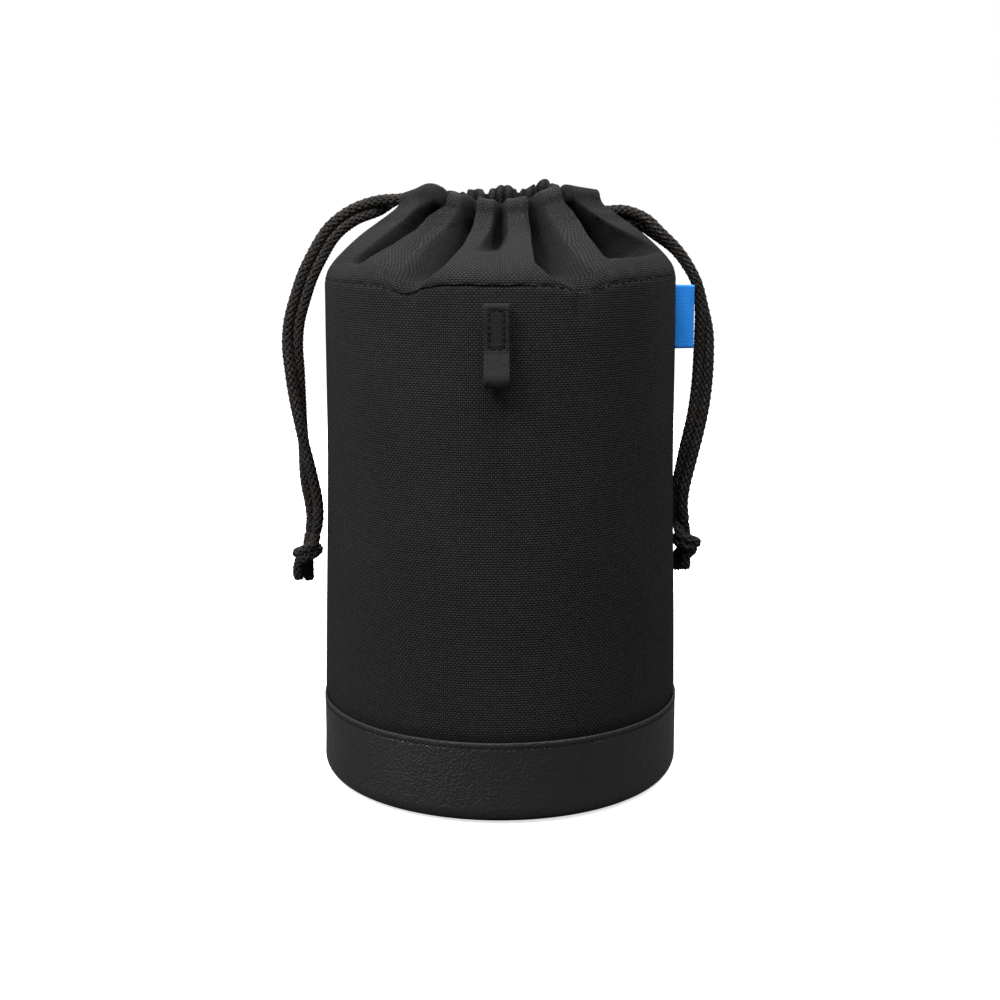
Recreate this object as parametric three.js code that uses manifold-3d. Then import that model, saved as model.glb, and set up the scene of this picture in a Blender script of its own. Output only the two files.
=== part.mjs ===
// Lens pouch: a round padded drawstring pouch with a leather foot, in millimetres, Z up, front at -Y.
import * as THREE from 'three';
import { mergeVertices } from 'three/addons/utils/BufferGeometryUtils.js';
import Module from 'manifold-3d';

const wasm = await Module();
wasm.setup();

const { clamp, degToRad, lerp, smoothstep } = THREE.MathUtils;

// Padded wall
const SHOULDER_DIAMETER = 106.8;
const SHOULDER_HEIGHT = 153.4;
const WAIST_DEPTH = 0.6;
const FABRIC = 0.8;
const FOAM = 3;
const LINING = 0.6;

// Clearance between neighbours, and the smaller one under a thread
const GAP = 0.3;
const SEAT = 0.1;

// Leather foot
const FOOT_DIAMETER = 110.2;
const FOOT_STEP = 0.4;
const BAND_HEIGHT = 24.3;
const BAND_LAP = 8;
const BAND_EDGE_RADIUS = 5;
const BAND_UNDERLAP = 3;
const TURNED_EDGE = 2.2;
const TURNED_EDGE_RISE = 0.3;
const TUCK_HEIGHT = 2.5;
const LEATHER = 1.2;
const BOARD = 2;
const STITCH_INSET = 1.6;
const THREAD = 0.5;

// Gathered mouth
const COLLAR_RISE = 17;
const COLLAR_CLOTH = 1.2;
const MOUTH_HALF_LENGTH = 29;
const MOUTH_HALF_WIDTH = 12;
const HEM_FLARE = 0.6;
const HEM_STITCH_RISE = 1.4;
const GATHER_DEPTH = 2;
const FOLD_DEPTH = 6.5;

// Drawcords
const CORD = 3.4;
const KNOT_WIDTH = 9.2;
const KNOT_HEIGHT = 7.5;
const TAIL_LENGTH = 6;
const LEFT_PULL_DROP = 109.2;
const RIGHT_PULL_DROP = 102.1;
const LEFT_KNOT_OFFSET = 1.2;
const RIGHT_KNOT_OFFSET = 0.4;

// Ribbon loop and label
const RIBBON = 0.9;
const RIBBON_WIDTH = 7.2;
const TAB_LENGTH = 12.9;
const LOOP_LENGTH = 10.6;
const LOOP_DEPTH = 5.2;
const LOOP_DROP = 4.4;
const LABEL_WIDTH = 5.9;
const LABEL_HEIGHT = 19.7;
const LABEL_THICKNESS = 1;
const LABEL_DROP = 2.2;

// Facets round the body
const ROUND_STEPS = 40;

// Each fold: place at the shoulder, place at the mouth, share of the depth, width; places run -1 left to 1 right.
const FRONT_FOLDS = [
  [-0.84, -0.66, 1, 0.09],
  [-0.52, -0.27, 0.92, 0.09],
  [-0.1, 0.01, 0.46, 0.07],
  [0.46, 0.29, 0.77, 0.09],
  [0.84, 0.68, 1, 0.1],
];
const BACK_FOLDS = [
  [-0.82, -0.64, 0.92, 0.09],
  [-0.38, -0.3, 0.77, 0.09],
  [0.08, 0.04, 0.62, 0.08],
  [0.46, 0.34, 0.85, 0.09],
  [0.84, 0.68, 0.92, 0.09],
];

// Each point of a pull: reach towards the wall, cords off the wall, fall, lean, roll in degrees.
const LEFT_ROUTE = [
  [0.3, 0, 0.02, 0, 70],
  [0.61, 0, 0.045, 0, 90],
  [0.86, 0, 0.083, 0, 90],
  [1, 0.91, 0.171, 0, 90],
  [1, 1.59, 0.215, 0, 90],
  [1, 2.32, 0.283, 0, 90],
  [1, 2.91, 0.354, 0, 86],
  [1, 3.1, 0.422, 0, 76],
  [1, 2.95, 0.496, 0, 56],
  [1, 2.72, 0.586, 0, 28],
  [1, 2.45, 0.661, 0, 4],
  [1, 2.2, 0.721, 0, -14],
  [1, 1.95, 0.781, 0, -40],
  [1, 1.7, 0.842, 0, -66],
  [1, 1.5, 0.902, 0, -84],
  [1, 1.5, 0.96, 0, -90],
  [1, 1.68, 1, 0, -90],
];
const RIGHT_ROUTE = [
  [0.32, 0, 0.012, 0, 60],
  [0.58, 0, 0.034, 0.6, 50],
  [0.8, 0, 0.073, 1.4, 24],
  [1, 0.2, 0.118, 2.2, 6],
  [1, 1.35, 0.17, 3, 0],
  [1, 2.2, 0.226, 3.6, -6],
  [1, 2.65, 0.3, 4, -24],
  [1, 2.9, 0.378, 4, -62],
  [1, 2.9, 0.456, 3.6, -84],
  [1, 2.75, 0.55, 3, -90],
  [1, 2.45, 0.628, 2.2, -92],
  [1, 2.05, 0.692, 1.4, -98],
  [1, 1.6, 0.755, 0.8, -112],
  [1, 1.2, 0.818, 0.4, -132],
  [1, 0.95, 0.881, 0, -152],
  [1, 0.9, 0.944, 0, -165],
  [1, 1.1, 1, 0, -172],
];

// Wall and foot
const footRadius = FOOT_DIAMETER / 2;
const shoulderRadius = SHOULDER_DIAMETER / 2;
const lapRadius = footRadius - LEATHER - GAP;
const wallStart = BAND_HEIGHT + TUCK_HEIGHT;
const wallTop = SHOULDER_HEIGHT - GAP;
const foamOuter = FABRIC + GAP;
const foamInner = foamOuter + FOAM;
const liningOuter = foamInner + GAP;
const boardBottom = LEATHER + GAP;
const padBottom = boardBottom + BOARD + GAP;
const floorBottom = padBottom + FOAM + GAP;
const floorTop = floorBottom + LINING;

// Tunnels of the mouth, each wide enough for one cord and high enough for two
const tunnelWidth = CORD + 2 * GAP;
const tunnelHeight = 2 * CORD + 3 * GAP;
const casingWidth = tunnelWidth + 2 * FABRIC;
const casingHeight = tunnelHeight + 2 * FABRIC;
const hemHeight = SHOULDER_HEIGHT + COLLAR_RISE;
const casingBottom = hemHeight + GAP;
const rimHeight = casingBottom + casingHeight;
const tipSpread = casingWidth / 2 + 2 * GAP;
const upperCord = rimHeight - FABRIC - GAP - CORD / 2;
const lowerCord = upperCord - CORD - GAP;
const exitX = MOUTH_HALF_LENGTH + GAP + CORD / 2;

const material = (color, roughness) => new THREE.MeshStandardMaterial({ color, roughness, metalness: 0 });
const fabric = material(0x232325, 0.85);
const foam = material(0x3a3a3c, 0.95);
const liningCloth = material(0x1c1c1e, 0.8);
const leather = material(0x1b1b1c, 0.55);
const board = material(0x6b5b48, 0.9);
const thread = material(0x151516, 0.7);
const ribbon = material(0x1a1a1b, 0.75);
const labelCloth = material(0x0f5fb4, 0.7);
const cordYarn = material(0x191715, 0.8);

const pouch = new THREE.Group();
pouch.name = 'lens_pouch';

// Merges shared corners so that every face joins its neighbours.
function tidy(geometry) {
  const bare = geometry.index ? geometry.toNonIndexed() : geometry;
  bare.deleteAttribute('normal');
  bare.deleteAttribute('uv');
  const merged = mergeVertices(bare, 1e-4);
  merged.computeVertexNormals();
  return merged;
}

function add(name, geometry, surface) {
  const mesh = new THREE.Mesh(tidy(geometry), surface);
  mesh.name = name;
  pouch.add(mesh);
}

// A solid turned round the pouch axis from an outline of [radius, height] pairs.
function turned(outline) {
  const points = outline.map(([radius, height]) => new THREE.Vector2(radius, height));
  return new THREE.LatheGeometry(points, ROUND_STEPS).rotateX(Math.PI / 2);
}

const ring = (outline) => turned([...outline, outline[0]]);
const disc = (radius, bottom, top) => turned([[0, bottom], [radius, bottom], [radius, top], [0, top]]);

function toManifold(geometry) {
  const clean = tidy(geometry);
  return new wasm.Manifold(new wasm.Mesh({
    numProp: 3,
    vertProperties: new Float32Array(clean.attributes.position.array),
    triVerts: new Uint32Array(clean.index.array),
  }));
}

function joined(...geometries) {
  const mesh = wasm.Manifold.union(geometries.map(toManifold)).getMesh();
  const geometry = new THREE.BufferGeometry();
  geometry.setAttribute('position', new THREE.BufferAttribute(new Float32Array(mesh.vertProperties), 3));
  geometry.setIndex(new THREE.BufferAttribute(new Uint32Array(mesh.triVerts), 1));
  return geometry;
}

// A closed skin between an outer and an inner grid of points; a looped grid closes round its section.
function shell(outer, inner, looped) {
  const rows = outer.length;
  const cols = outer[0].length;
  const points = [...outer.flat(), ...inner.flat()];
  const index = [];
  const at = (layer, i, j) => layer * rows * cols + i * cols + (j % cols);
  const quad = (a, b, c, d) => index.push(a, b, c, a, c, d);
  const lastCol = looped ? cols : cols - 1;
  for (let i = 0; i < rows - 1; i += 1) {
    for (let j = 0; j < lastCol; j += 1) {
      quad(at(0, i, j), at(0, i + 1, j), at(0, i + 1, j + 1), at(0, i, j + 1));
      quad(at(1, i, j), at(1, i, j + 1), at(1, i + 1, j + 1), at(1, i + 1, j));
    }
    if (!looped) {
      quad(at(0, i, 0), at(1, i, 0), at(1, i + 1, 0), at(0, i + 1, 0));
      quad(at(0, i, cols - 1), at(0, i + 1, cols - 1), at(1, i + 1, cols - 1), at(1, i, cols - 1));
    }
  }
  for (let j = 0; j < lastCol; j += 1) {
    quad(at(0, 0, j), at(0, 0, j + 1), at(1, 0, j + 1), at(1, 0, j));
    quad(at(0, rows - 1, j), at(1, rows - 1, j), at(1, rows - 1, j + 1), at(0, rows - 1, j + 1));
  }
  const geometry = new THREE.BufferGeometry();
  geometry.setAttribute('position', new THREE.Float32BufferAttribute(points.flatMap((p) => p.toArray()), 3));
  geometry.setIndex(index);
  return geometry;
}

// A round cord through a list of points.
function cordAlong(points, diameter, steps, sides) {
  const corners = Array.from({ length: sides }, (_, i) => {
    const turn = (2 * Math.PI * i) / sides;
    return new THREE.Vector2(Math.cos(turn), Math.sin(turn)).multiplyScalar(diameter / 2);
  });
  const path = new THREE.CatmullRomCurve3(points);
  return new THREE.ExtrudeGeometry(new THREE.Shape(corners), { steps, extrudePath: path, bevelEnabled: false });
}

// Outer radius of the fabric wall at a height; it tucks in behind the leather band.
function wallRadius(z) {
  const share = clamp((z - wallStart) / (SHOULDER_HEIGHT - wallStart), 0, 1);
  const straight = lerp(footRadius - FOOT_STEP, shoulderRadius, share);
  const drawn = straight - WAIST_DEPTH * Math.sin(Math.PI * share) ** 2;
  return lerp(lapRadius, drawn, smoothstep(z, BAND_HEIGHT, wallStart));
}

// One layer of the wall between two insets from the outer face.
function wallLayer(outerInset, innerInset, bottom) {
  const steps = 4;
  const heights = [bottom, BAND_HEIGHT, wallStart];
  for (let i = 1; i <= steps; i += 1) heights.push(lerp(wallStart, wallTop, i / steps));
  const outer = heights.map((z) => [wallRadius(z) - outerInset, z]);
  const inner = heights.map((z) => [wallRadius(z) - innerInset, z]).reverse();
  return ring([...outer, ...inner]);
}

// A quarter turn of the band's lower edge, from the underside to the side.
function edgeArc(radius) {
  const steps = 4;
  return Array.from({ length: steps + 1 }, (_, i) => {
    const turn = (Math.PI / 2) * (i / steps);
    return [
      footRadius - BAND_EDGE_RADIUS + radius * Math.sin(turn),
      BAND_EDGE_RADIUS - radius * Math.cos(turn),
    ];
  });
}

function addFoot() {
  const underEdge = footRadius - BAND_EDGE_RADIUS - BAND_UNDERLAP;
  const turnedRadius = footRadius + TURNED_EDGE_RISE;
  add('base_band', ring([
    [underEdge, 0],
    ...edgeArc(BAND_EDGE_RADIUS),
    [footRadius, BAND_HEIGHT - TURNED_EDGE - TURNED_EDGE_RISE],
    [turnedRadius, BAND_HEIGHT - TURNED_EDGE],
    [turnedRadius, BAND_HEIGHT - TURNED_EDGE_RISE],
    [footRadius, BAND_HEIGHT],
    [footRadius - LEATHER, BAND_HEIGHT],
    ...edgeArc(BAND_EDGE_RADIUS - LEATHER).reverse(),
    [underEdge, LEATHER],
  ]), leather);
  add('base_disc', disc(underEdge - GAP, 0, LEATHER), leather);
  add('base_board', disc(footRadius - BAND_EDGE_RADIUS, boardBottom, boardBottom + BOARD), board);
  const below = Math.max(BAND_EDGE_RADIUS - padBottom, 0);
  const hollow = Math.sqrt((BAND_EDGE_RADIUS - LEATHER) ** 2 - below ** 2);
  const padRadius = Math.min(lapRadius - foamOuter, footRadius - BAND_EDGE_RADIUS + hollow - GAP);
  add('base_pad', disc(padRadius, padBottom, padBottom + FOAM), foam);
  add('lining_floor', disc(lapRadius - liningOuter - LINING - GAP, floorBottom, floorTop), liningCloth);
  add('band_stitch', stitchRing(turnedRadius, BAND_HEIGHT - STITCH_INSET), thread);
}

// A thread lying round the body on a face of the given radius.
function stitchRing(faceRadius, z) {
  return new THREE.TorusGeometry(faceRadius + SEAT + THREAD / 2, THREAD / 2, 4, 64).translate(0, 0, z);
}

function addWall() {
  add('outer_panel', wallLayer(0, FABRIC, BAND_HEIGHT - BAND_LAP), fabric);
  add('padding', wallLayer(foamOuter, foamInner, floorBottom), foam);
  add('lining', wallLayer(liningOuter, liningOuter + LINING, floorBottom), liningCloth);
  const seamHeight = wallTop - THREAD;
  add('shoulder_stitch', stitchRing(wallRadius(seamHeight), seamHeight), thread);
}

// Plan of the mouth: an almond with a tip at each side; place runs from -1 left to 1 right.
function mouthPoint(place, side, tip) {
  const y = side * (tip + (MOUTH_HALF_WIDTH - tip) * (1 - place * place));
  return new THREE.Vector3(MOUTH_HALF_LENGTH * place, y, 0);
}

function mouthNormal(place, side, tip) {
  const slope = (-2 * side * (MOUTH_HALF_WIDTH - tip) * place) / MOUTH_HALF_LENGTH;
  return new THREE.Vector3(-side * slope, side, 0).normalize();
}

// How far the cloth sinks into the folds at a place and at a share of the collar's height.
function foldDepth(folds, place, share) {
  const foldEase = 0.62;
  const strength = smoothstep(share, 0.05, 0.5) * (1 - foldEase * smoothstep(share, 0.6, 1));
  let depth = 0;
  for (const [low, high, deep, width] of folds) {
    const off = (place - lerp(low, high, share)) / width;
    depth += FOLD_DEPTH * deep * Math.exp(-off * off);
  }
  return depth * strength;
}

// One half of the collar, from the shoulder seam up to the tunnel.
function collar(side, folds) {
  const turns = 44;
  const rises = 6;
  const upright = 0.53 * COLLAR_RISE;
  const tip = COLLAR_CLOTH + GAP;
  const slit = Math.asin(GAP / 2 / shoulderRadius);
  const start = side < 0 ? Math.PI + slit : slit;
  const outer = [];
  const inner = [];
  for (let i = 0; i <= turns; i += 1) {
    const turn = start + (Math.PI - 2 * slit) * (i / turns);
    const place = Math.cos(turn);
    const ray = new THREE.Vector3(Math.cos(turn), Math.sin(turn), 0);
    const facing = mouthNormal(place, side, tip);
    const low = ray.clone().multiplyScalar(shoulderRadius).setZ(SHOULDER_HEIGHT);
    const bend = low.clone().setZ(SHOULDER_HEIGHT + upright);
    const high = mouthPoint(place, side, tip).addScaledVector(facing, COLLAR_CLOTH / 2).setZ(hemHeight);
    const profile = new THREE.QuadraticBezierCurve3(low, bend, high);
    const outerRow = [];
    const innerRow = [];
    for (let j = 0; j <= rises; j += 1) {
      const share = j / rises;
      const away = ray.clone().lerp(facing, share).normalize();
      const skin = profile.getPoint(share).addScaledVector(away, -foldDepth(folds, place, share));
      outerRow.push(skin);
      innerRow.push(skin.clone().addScaledVector(away, -COLLAR_CLOTH));
    }
    outer.push(outerRow);
    inner.push(innerRow);
  }
  return shell(outer, inner, false);
}

// How far the gathered face of a tunnel stands out at a place.
function gather(folds, place) {
  return casingWidth / 2 + Math.max(GATHER_DEPTH - foldDepth(folds, place, 1), 0);
}

// One half of the hemmed tunnel, open at both tips.
function casing(side, folds) {
  const steps = 30;
  const half = casingWidth / 2;
  const round = 1.2;
  const bore = tunnelWidth / 2;
  const boreRound = 0.3;
  const boreTop = rimHeight - FABRIC;
  const boreBottom = casingBottom + FABRIC;
  const boreLoop = [
    [bore - boreRound, boreBottom], [bore, boreBottom + boreRound], [bore, (boreBottom + boreTop) / 2],
    [bore, boreTop - boreRound], [bore - boreRound, boreTop], [boreRound - bore, boreTop],
    [-bore, boreTop - boreRound], [-bore, boreBottom + boreRound], [boreRound - bore, boreBottom],
  ];
  const outer = [];
  const inner = [];
  for (let i = 0; i <= steps; i += 1) {
    const place = -side * ((2 * i) / steps - 1);
    const centre = mouthPoint(place, side, tipSpread);
    const facing = mouthNormal(place, side, tipSpread);
    const face = gather(folds, place);
    const skinLoop = [
      [face, casingBottom], [face + HEM_FLARE, casingBottom + HEM_FLARE], [face, casingBottom + casingHeight / 2],
      [face - HEM_FLARE, rimHeight - round], [half - round, rimHeight], [round - half, rimHeight],
      [-half, rimHeight - round], [-half, casingBottom + HEM_FLARE], [HEM_FLARE - half, casingBottom],
    ];
    const lift = ([out, z]) => centre.clone().addScaledVector(facing, out).setZ(z);
    outer.push(skinLoop.map(lift));
    inner.push(boreLoop.map(lift));
  }
  return shell(outer, inner, true);
}

// The thread along the lower edge of a tunnel.
function hemStitch(side, folds) {
  const steps = 30;
  const reach = 0.97;
  const points = [];
  for (let i = 0; i <= steps; i += 1) {
    const place = reach * ((2 * i) / steps - 1);
    const out = gather(folds, place) + HEM_FLARE + GAP + THREAD / 2;
    const facing = mouthNormal(place, side, tipSpread);
    const point = mouthPoint(place, side, tipSpread).addScaledVector(facing, out);
    points.push(point.setZ(casingBottom + HEM_STITCH_RISE));
  }
  return cordAlong(points, THREAD, 40, 4);
}

// A drawcord's run through one tunnel, from its own exit to just short of the other one.
function cordRun(side, exitSide, height) {
  const steps = 12;
  const stop = -0.93 * exitSide;
  const points = [];
  for (let i = 0; i <= steps; i += 1) {
    points.push(mouthPoint(lerp(exitSide, stop, i / steps), side, tipSpread).setZ(height));
  }
  return cordAlong(points, CORD, steps, 8);
}

function addMouth() {
  for (const [name, side, folds] of [['front', -1, FRONT_FOLDS], ['back', 1, BACK_FOLDS]]) {
    add(`${name}_collar`, collar(side, folds), fabric);
    add(`${name}_casing`, casing(side, folds), fabric);
    add(`${name}_hem_stitch`, hemStitch(side, folds), thread);
    add(`left_run_${name}`, cordRun(side, -1, upperCord), cordYarn);
    add(`right_run_${name}`, cordRun(side, 1, lowerCord), cordYarn);
  }
}

// One free strand of a pull; the two lie side by side and slowly twist on their way to the knot.
function strand(exitSide, side, route, exitHeight, knotTop) {
  const apart = 0.55 * CORD;
  const centres = route.map(([reach, cords, fall, lean]) => {
    const z = lerp(exitHeight, knotTop, fall);
    const x = lerp(exitX, wallRadius(Math.min(z, SHOULDER_HEIGHT)), reach) + cords * CORD;
    return new THREE.Vector3(x, lean, z);
  });
  const start = new THREE.Vector3(exitSide * exitX, side * tipSpread, exitHeight);
  const points = [start];
  centres.forEach((centre, i) => {
    const before = centres[Math.max(i - 1, 0)];
    const after = centres[Math.min(i + 1, centres.length - 1)];
    const along = after.clone().sub(before).normalize();
    const roll = degToRad(route[i][4]);
    const away = new THREE.Vector3(-along.z, 0, along.x).multiplyScalar(-side * apart * Math.sin(roll));
    const spot = centre.clone().add(away);
    spot.y += side * apart * Math.cos(roll);
    points.push(spot.setX(exitSide * spot.x));
  });
  const ball = new THREE.SphereGeometry(CORD / 2, 10, 6).translate(...start.toArray());
  return joined(cordAlong(points, CORD, 32, 8), ball);
}

// An overhand knot with its two cut tails.
function knot(exitSide, x, height) {
  const wide = KNOT_WIDTH / 2;
  const tall = KNOT_HEIGHT / 2;
  const flat = 0.85;
  const core = new THREE.SphereGeometry(1, 14, 9).scale(0.94 * wide, 0.94 * flat * wide, tall);
  const wraps = [-0.5, 0.5].map((tilt) => {
    const turn = new THREE.TorusGeometry(wide - CORD / 2, CORD / 2, 6, 14);
    return turn.scale(1, flat, 1).rotateY(tilt);
  });
  const foot = -tall / 2;
  const end = -tall - TAIL_LENGTH;
  const tails = [-1, 1].map((way) => {
    const middle = 0.4 * exitSide;
    const spot = (out, near, z) => new THREE.Vector3((middle + way * out) * CORD, -near * CORD, z);
    const path = [spot(0.35, 0, foot), spot(0.6, 0.2, (foot + end) / 2), spot(0.72, 0.3, end + way * 0.2 * CORD)];
    return cordAlong(path, CORD, 5, 8);
  });
  const place = (geometry) => geometry.translate(exitSide * x, 0, height);
  return joined(...[core, ...wraps, ...tails].map(place));
}

function addPulls() {
  const pulls = [
    ['left', -1, LEFT_ROUTE, upperCord, LEFT_PULL_DROP, LEFT_KNOT_OFFSET],
    ['right', 1, RIGHT_ROUTE, lowerCord, RIGHT_PULL_DROP, RIGHT_KNOT_OFFSET],
  ];
  for (const [name, exitSide, route, exitHeight, drop, offset] of pulls) {
    const knotHeight = exitHeight - drop;
    const knotTop = knotHeight + KNOT_HEIGHT / 2 + GAP;
    const knotX = wallRadius(knotHeight) + KNOT_WIDTH / 2 + offset;
    add(`${name}_strand_front`, strand(exitSide, -1, route, exitHeight, knotTop), cordYarn);
    add(`${name}_strand_back`, strand(exitSide, 1, route, exitHeight, knotTop), cordYarn);
    add(`${name}_knot`, knot(exitSide, knotX, knotHeight), cordYarn);
  }
}

// Folded ribbon on the front: a sewn tab, its box stitch and the free loop under it.
function addRibbonLoop() {
  const tabTop = SHOULDER_HEIGHT - LOOP_DROP;
  const tabBottom = tabTop - TAB_LENGTH;
  const tabMiddle = (tabTop + tabBottom) / 2;
  const loopBottom = tabBottom - LOOP_LENGTH;
  const wall = Math.max(wallRadius(tabTop), wallRadius(tabBottom), wallRadius(loopBottom));
  const ribbonBack = -(wall + GAP);
  const ribbonFront = ribbonBack - 2 * RIBBON;
  const tab = new THREE.BoxGeometry(RIBBON_WIDTH, 2 * RIBBON, TAB_LENGTH);
  add('loop_tab', tab.translate(0, (ribbonBack + ribbonFront) / 2, tabMiddle), ribbon);

  const boxWide = RIBBON_WIDTH - 2 * STITCH_INSET;
  const boxTall = TAB_LENGTH - 2 * STITCH_INSET;
  const bar = (wide, tall, x, z) => {
    const stitch = new THREE.BoxGeometry(wide, THREAD, tall);
    return stitch.translate(x, ribbonFront - SEAT - THREAD / 2, tabMiddle + z);
  };
  add('loop_stitch', joined(
    bar(THREAD, boxTall + THREAD, -boxWide / 2, 0),
    bar(THREAD, boxTall + THREAD, boxWide / 2, 0),
    bar(boxWide, THREAD, 0, -boxTall / 2),
    bar(boxWide, THREAD, 0, boxTall / 2),
  ), thread);

  // Side view of the loop: y across and z up, round at the top where it turns on the stitch line
  const hingeY = ribbonBack - RIBBON;
  const hingeZ = tabBottom - GAP - RIBBON;
  const foldRadius = LOOP_DEPTH / 2;
  const foldY = ribbonBack - foldRadius;
  const foldZ = loopBottom + foldRadius;
  const loopFront = ribbonBack - LOOP_DEPTH;
  const outline = new THREE.Shape();
  outline.absarc(hingeY, hingeZ, RIBBON, 0, Math.PI, false);
  outline.quadraticCurveTo(loopFront, (hingeZ + foldZ) / 2, loopFront, foldZ);
  outline.absarc(foldY, foldZ, foldRadius, Math.PI, 2 * Math.PI, false);
  outline.closePath();
  const eye = new THREE.Path();
  const eyeTop = hingeZ - 2 * RIBBON;
  const eyeFront = loopFront + RIBBON;
  eye.moveTo(hingeY, eyeTop);
  eye.quadraticCurveTo(eyeFront, (eyeTop + foldZ) / 2, eyeFront, foldZ);
  eye.absarc(foldY, foldZ, foldRadius - RIBBON, Math.PI, 2 * Math.PI, false);
  eye.closePath();
  outline.holes.push(eye);
  const loop = new THREE.ExtrudeGeometry(outline, { depth: RIBBON_WIDTH, bevelEnabled: false, curveSegments: 8 });
  const across = new THREE.Vector3(0, 1, 0);
  const up = new THREE.Vector3(0, 0, 1);
  const along = new THREE.Vector3(1, 0, 0);
  loop.translate(0, 0, -RIBBON_WIDTH / 2).applyMatrix4(new THREE.Matrix4().makeBasis(across, up, along));
  add('hang_loop', loop, ribbon);
}

// Folded label in the right-hand side seam, with round long edges.
function addSideLabel() {
  const top = SHOULDER_HEIGHT - LABEL_DROP;
  const wall = Math.max(wallRadius(top), wallRadius(top - LABEL_HEIGHT));
  const round = LABEL_THICKNESS / 2;
  const leaf = new THREE.Shape();
  leaf.absarc(wall + GAP + round, 0, round, Math.PI / 2, 1.5 * Math.PI, false);
  leaf.absarc(wall + GAP + LABEL_WIDTH - round, 0, round, -Math.PI / 2, Math.PI / 2, false);
  leaf.closePath();
  const label = new THREE.ExtrudeGeometry(leaf, { depth: LABEL_HEIGHT, bevelEnabled: false, curveSegments: 6 });
  add('side_label', label.translate(0, 0, top - LABEL_HEIGHT), labelCloth);
}

addFoot();
addWall();
addMouth();
addPulls();
addRibbonLoop();
addSideLabel();

export default pouch;
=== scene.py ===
"""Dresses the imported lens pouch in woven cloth, grained leather, braided cords and a plain label."""

import math
from typing import NamedTuple

import bpy
import numpy as np
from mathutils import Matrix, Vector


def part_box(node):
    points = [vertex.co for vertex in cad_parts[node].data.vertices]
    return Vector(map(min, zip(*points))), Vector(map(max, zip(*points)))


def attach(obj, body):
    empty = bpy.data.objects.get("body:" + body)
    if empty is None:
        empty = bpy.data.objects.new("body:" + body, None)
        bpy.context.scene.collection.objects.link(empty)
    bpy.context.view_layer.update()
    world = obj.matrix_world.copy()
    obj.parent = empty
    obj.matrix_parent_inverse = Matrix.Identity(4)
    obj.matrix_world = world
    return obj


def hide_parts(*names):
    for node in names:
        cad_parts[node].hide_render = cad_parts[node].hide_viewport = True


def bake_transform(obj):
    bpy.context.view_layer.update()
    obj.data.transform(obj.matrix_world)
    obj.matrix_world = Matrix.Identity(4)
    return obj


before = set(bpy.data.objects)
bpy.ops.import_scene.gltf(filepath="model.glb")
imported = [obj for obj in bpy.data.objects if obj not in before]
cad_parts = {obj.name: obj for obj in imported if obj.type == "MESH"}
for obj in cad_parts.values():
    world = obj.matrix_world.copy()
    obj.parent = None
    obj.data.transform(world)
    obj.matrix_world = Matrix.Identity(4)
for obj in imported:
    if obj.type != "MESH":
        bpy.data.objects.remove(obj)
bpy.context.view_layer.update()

bl_info = {
    "name": "Lens Pouch",
    "version": (1, 0, 0),
    "blender": (4, 5, 0),
    "location": "View3D > Sidebar > Pouch",
    "description": "Builds a padded drawstring lens pouch on its packed frame",
    "category": "Object",
}

MM = 0.001
# Point attribute of places on the flat cloth; on the collar its third part holds painted shade
CLOTH = "cloth"


def corners(node):
    """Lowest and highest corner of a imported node, in millimetres."""
    low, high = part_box(node)
    return np.array(low) / MM, np.array(high) / MM


def middle_height(node):
    """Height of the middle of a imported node, in millimetres."""
    low, high = corners(node)
    return (low[2] + high[2]) / 2


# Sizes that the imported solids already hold, in millimetres
BAND_RADIUS = corners("base_band")[1][0]
BAND_TOP = corners("base_band")[1][2]
WALL_BOTTOM = corners("outer_panel")[0][2]
SHOULDER_RADIUS = corners("front_collar")[1][0]
SHOULDER_HEIGHT = corners("front_collar")[0][2]
HEM_HEIGHT = corners("front_casing")[0][2]
FLOOR_TOP = corners("lining_floor")[1][2]
FLOOR_RADIUS = corners("lining_floor")[1][0]
PAD_BOTTOM, PAD_TOP = corners("base_pad")[0][2], corners("base_pad")[1][2]
PAD_RADIUS = corners("base_pad")[1][0]
DISC_RADIUS = corners("base_disc")[1][0]
LEATHER = corners("base_disc")[1][2]
LEFT_EXIT_HEIGHT = middle_height("left_run_front")
RIGHT_EXIT_HEIGHT = middle_height("right_run_front")
TAB_BOTTOM, TAB_TOP = corners("loop_tab")[0][2], corners("loop_tab")[1][2]
TAB_FRONT, TAB_BACK = corners("loop_tab")[0][1], corners("loop_tab")[1][1]
LOOP_FRONT, LOOP_BOTTOM = corners("hang_loop")[0][1], corners("hang_loop")[0][2]
LABEL_LOW, LABEL_HIGH = corners("side_label")

# The wall and the layers inside it
TUCK = 2.5
WAIST_DEPTH = 0.6
FOOT_STEP = 0.7
FABRIC = 0.8
FOAM = 3.0
LINING = 0.6
GAP = 0.3

# The turned edge of the leather band, its face below, and the wall where it laps down behind it
TURNED_EDGE_RISE = 0.3
BAND_FACE = BAND_RADIUS - TURNED_EDGE_RISE
WALL_LAP = BAND_FACE - LEATHER - GAP

# The ribbon of the loop, how far it sits off the middle, half way through its tab, and the stitched box
RIBBON = 0.8
TAB_SHIFT = -0.9
TAB_MIDDLE = (TAB_FRONT + TAB_BACK) / 2
BOX_HALF = 2.0
BOX_BOTTOM, BOX_TOP = TAB_BOTTOM + 0.5, TAB_TOP - 1.8

# The mouth in plan: an almond whose tips point at the drawcords
MOUTH_HALF_LENGTH = 29.0
MOUTH_HALF_WIDTH = 12.0
TIP_SPREAD = 3.4
TUNNEL = 2.4
EXIT_X = 31.0

# The collar's cloth, the fullness of its gathers outside and inside the tunnel, and the cover over a cord
COLLAR_CLOTH = 0.55
FULLNESS_OUTSIDE = 3.6
FULLNESS_INSIDE = 1.6
LEAST_COVER = 2.1
CROWN = 2.8
PLEAT_PITCH = 0.118

# Puckers that the shoulder seam draws into the wall and the collar, all round
PUCKERS = 46

# How far the cords and the inner hem sink in the middle of the mouth
CORD_SINK = 4.0
HEM_SINK = 3.4

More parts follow.
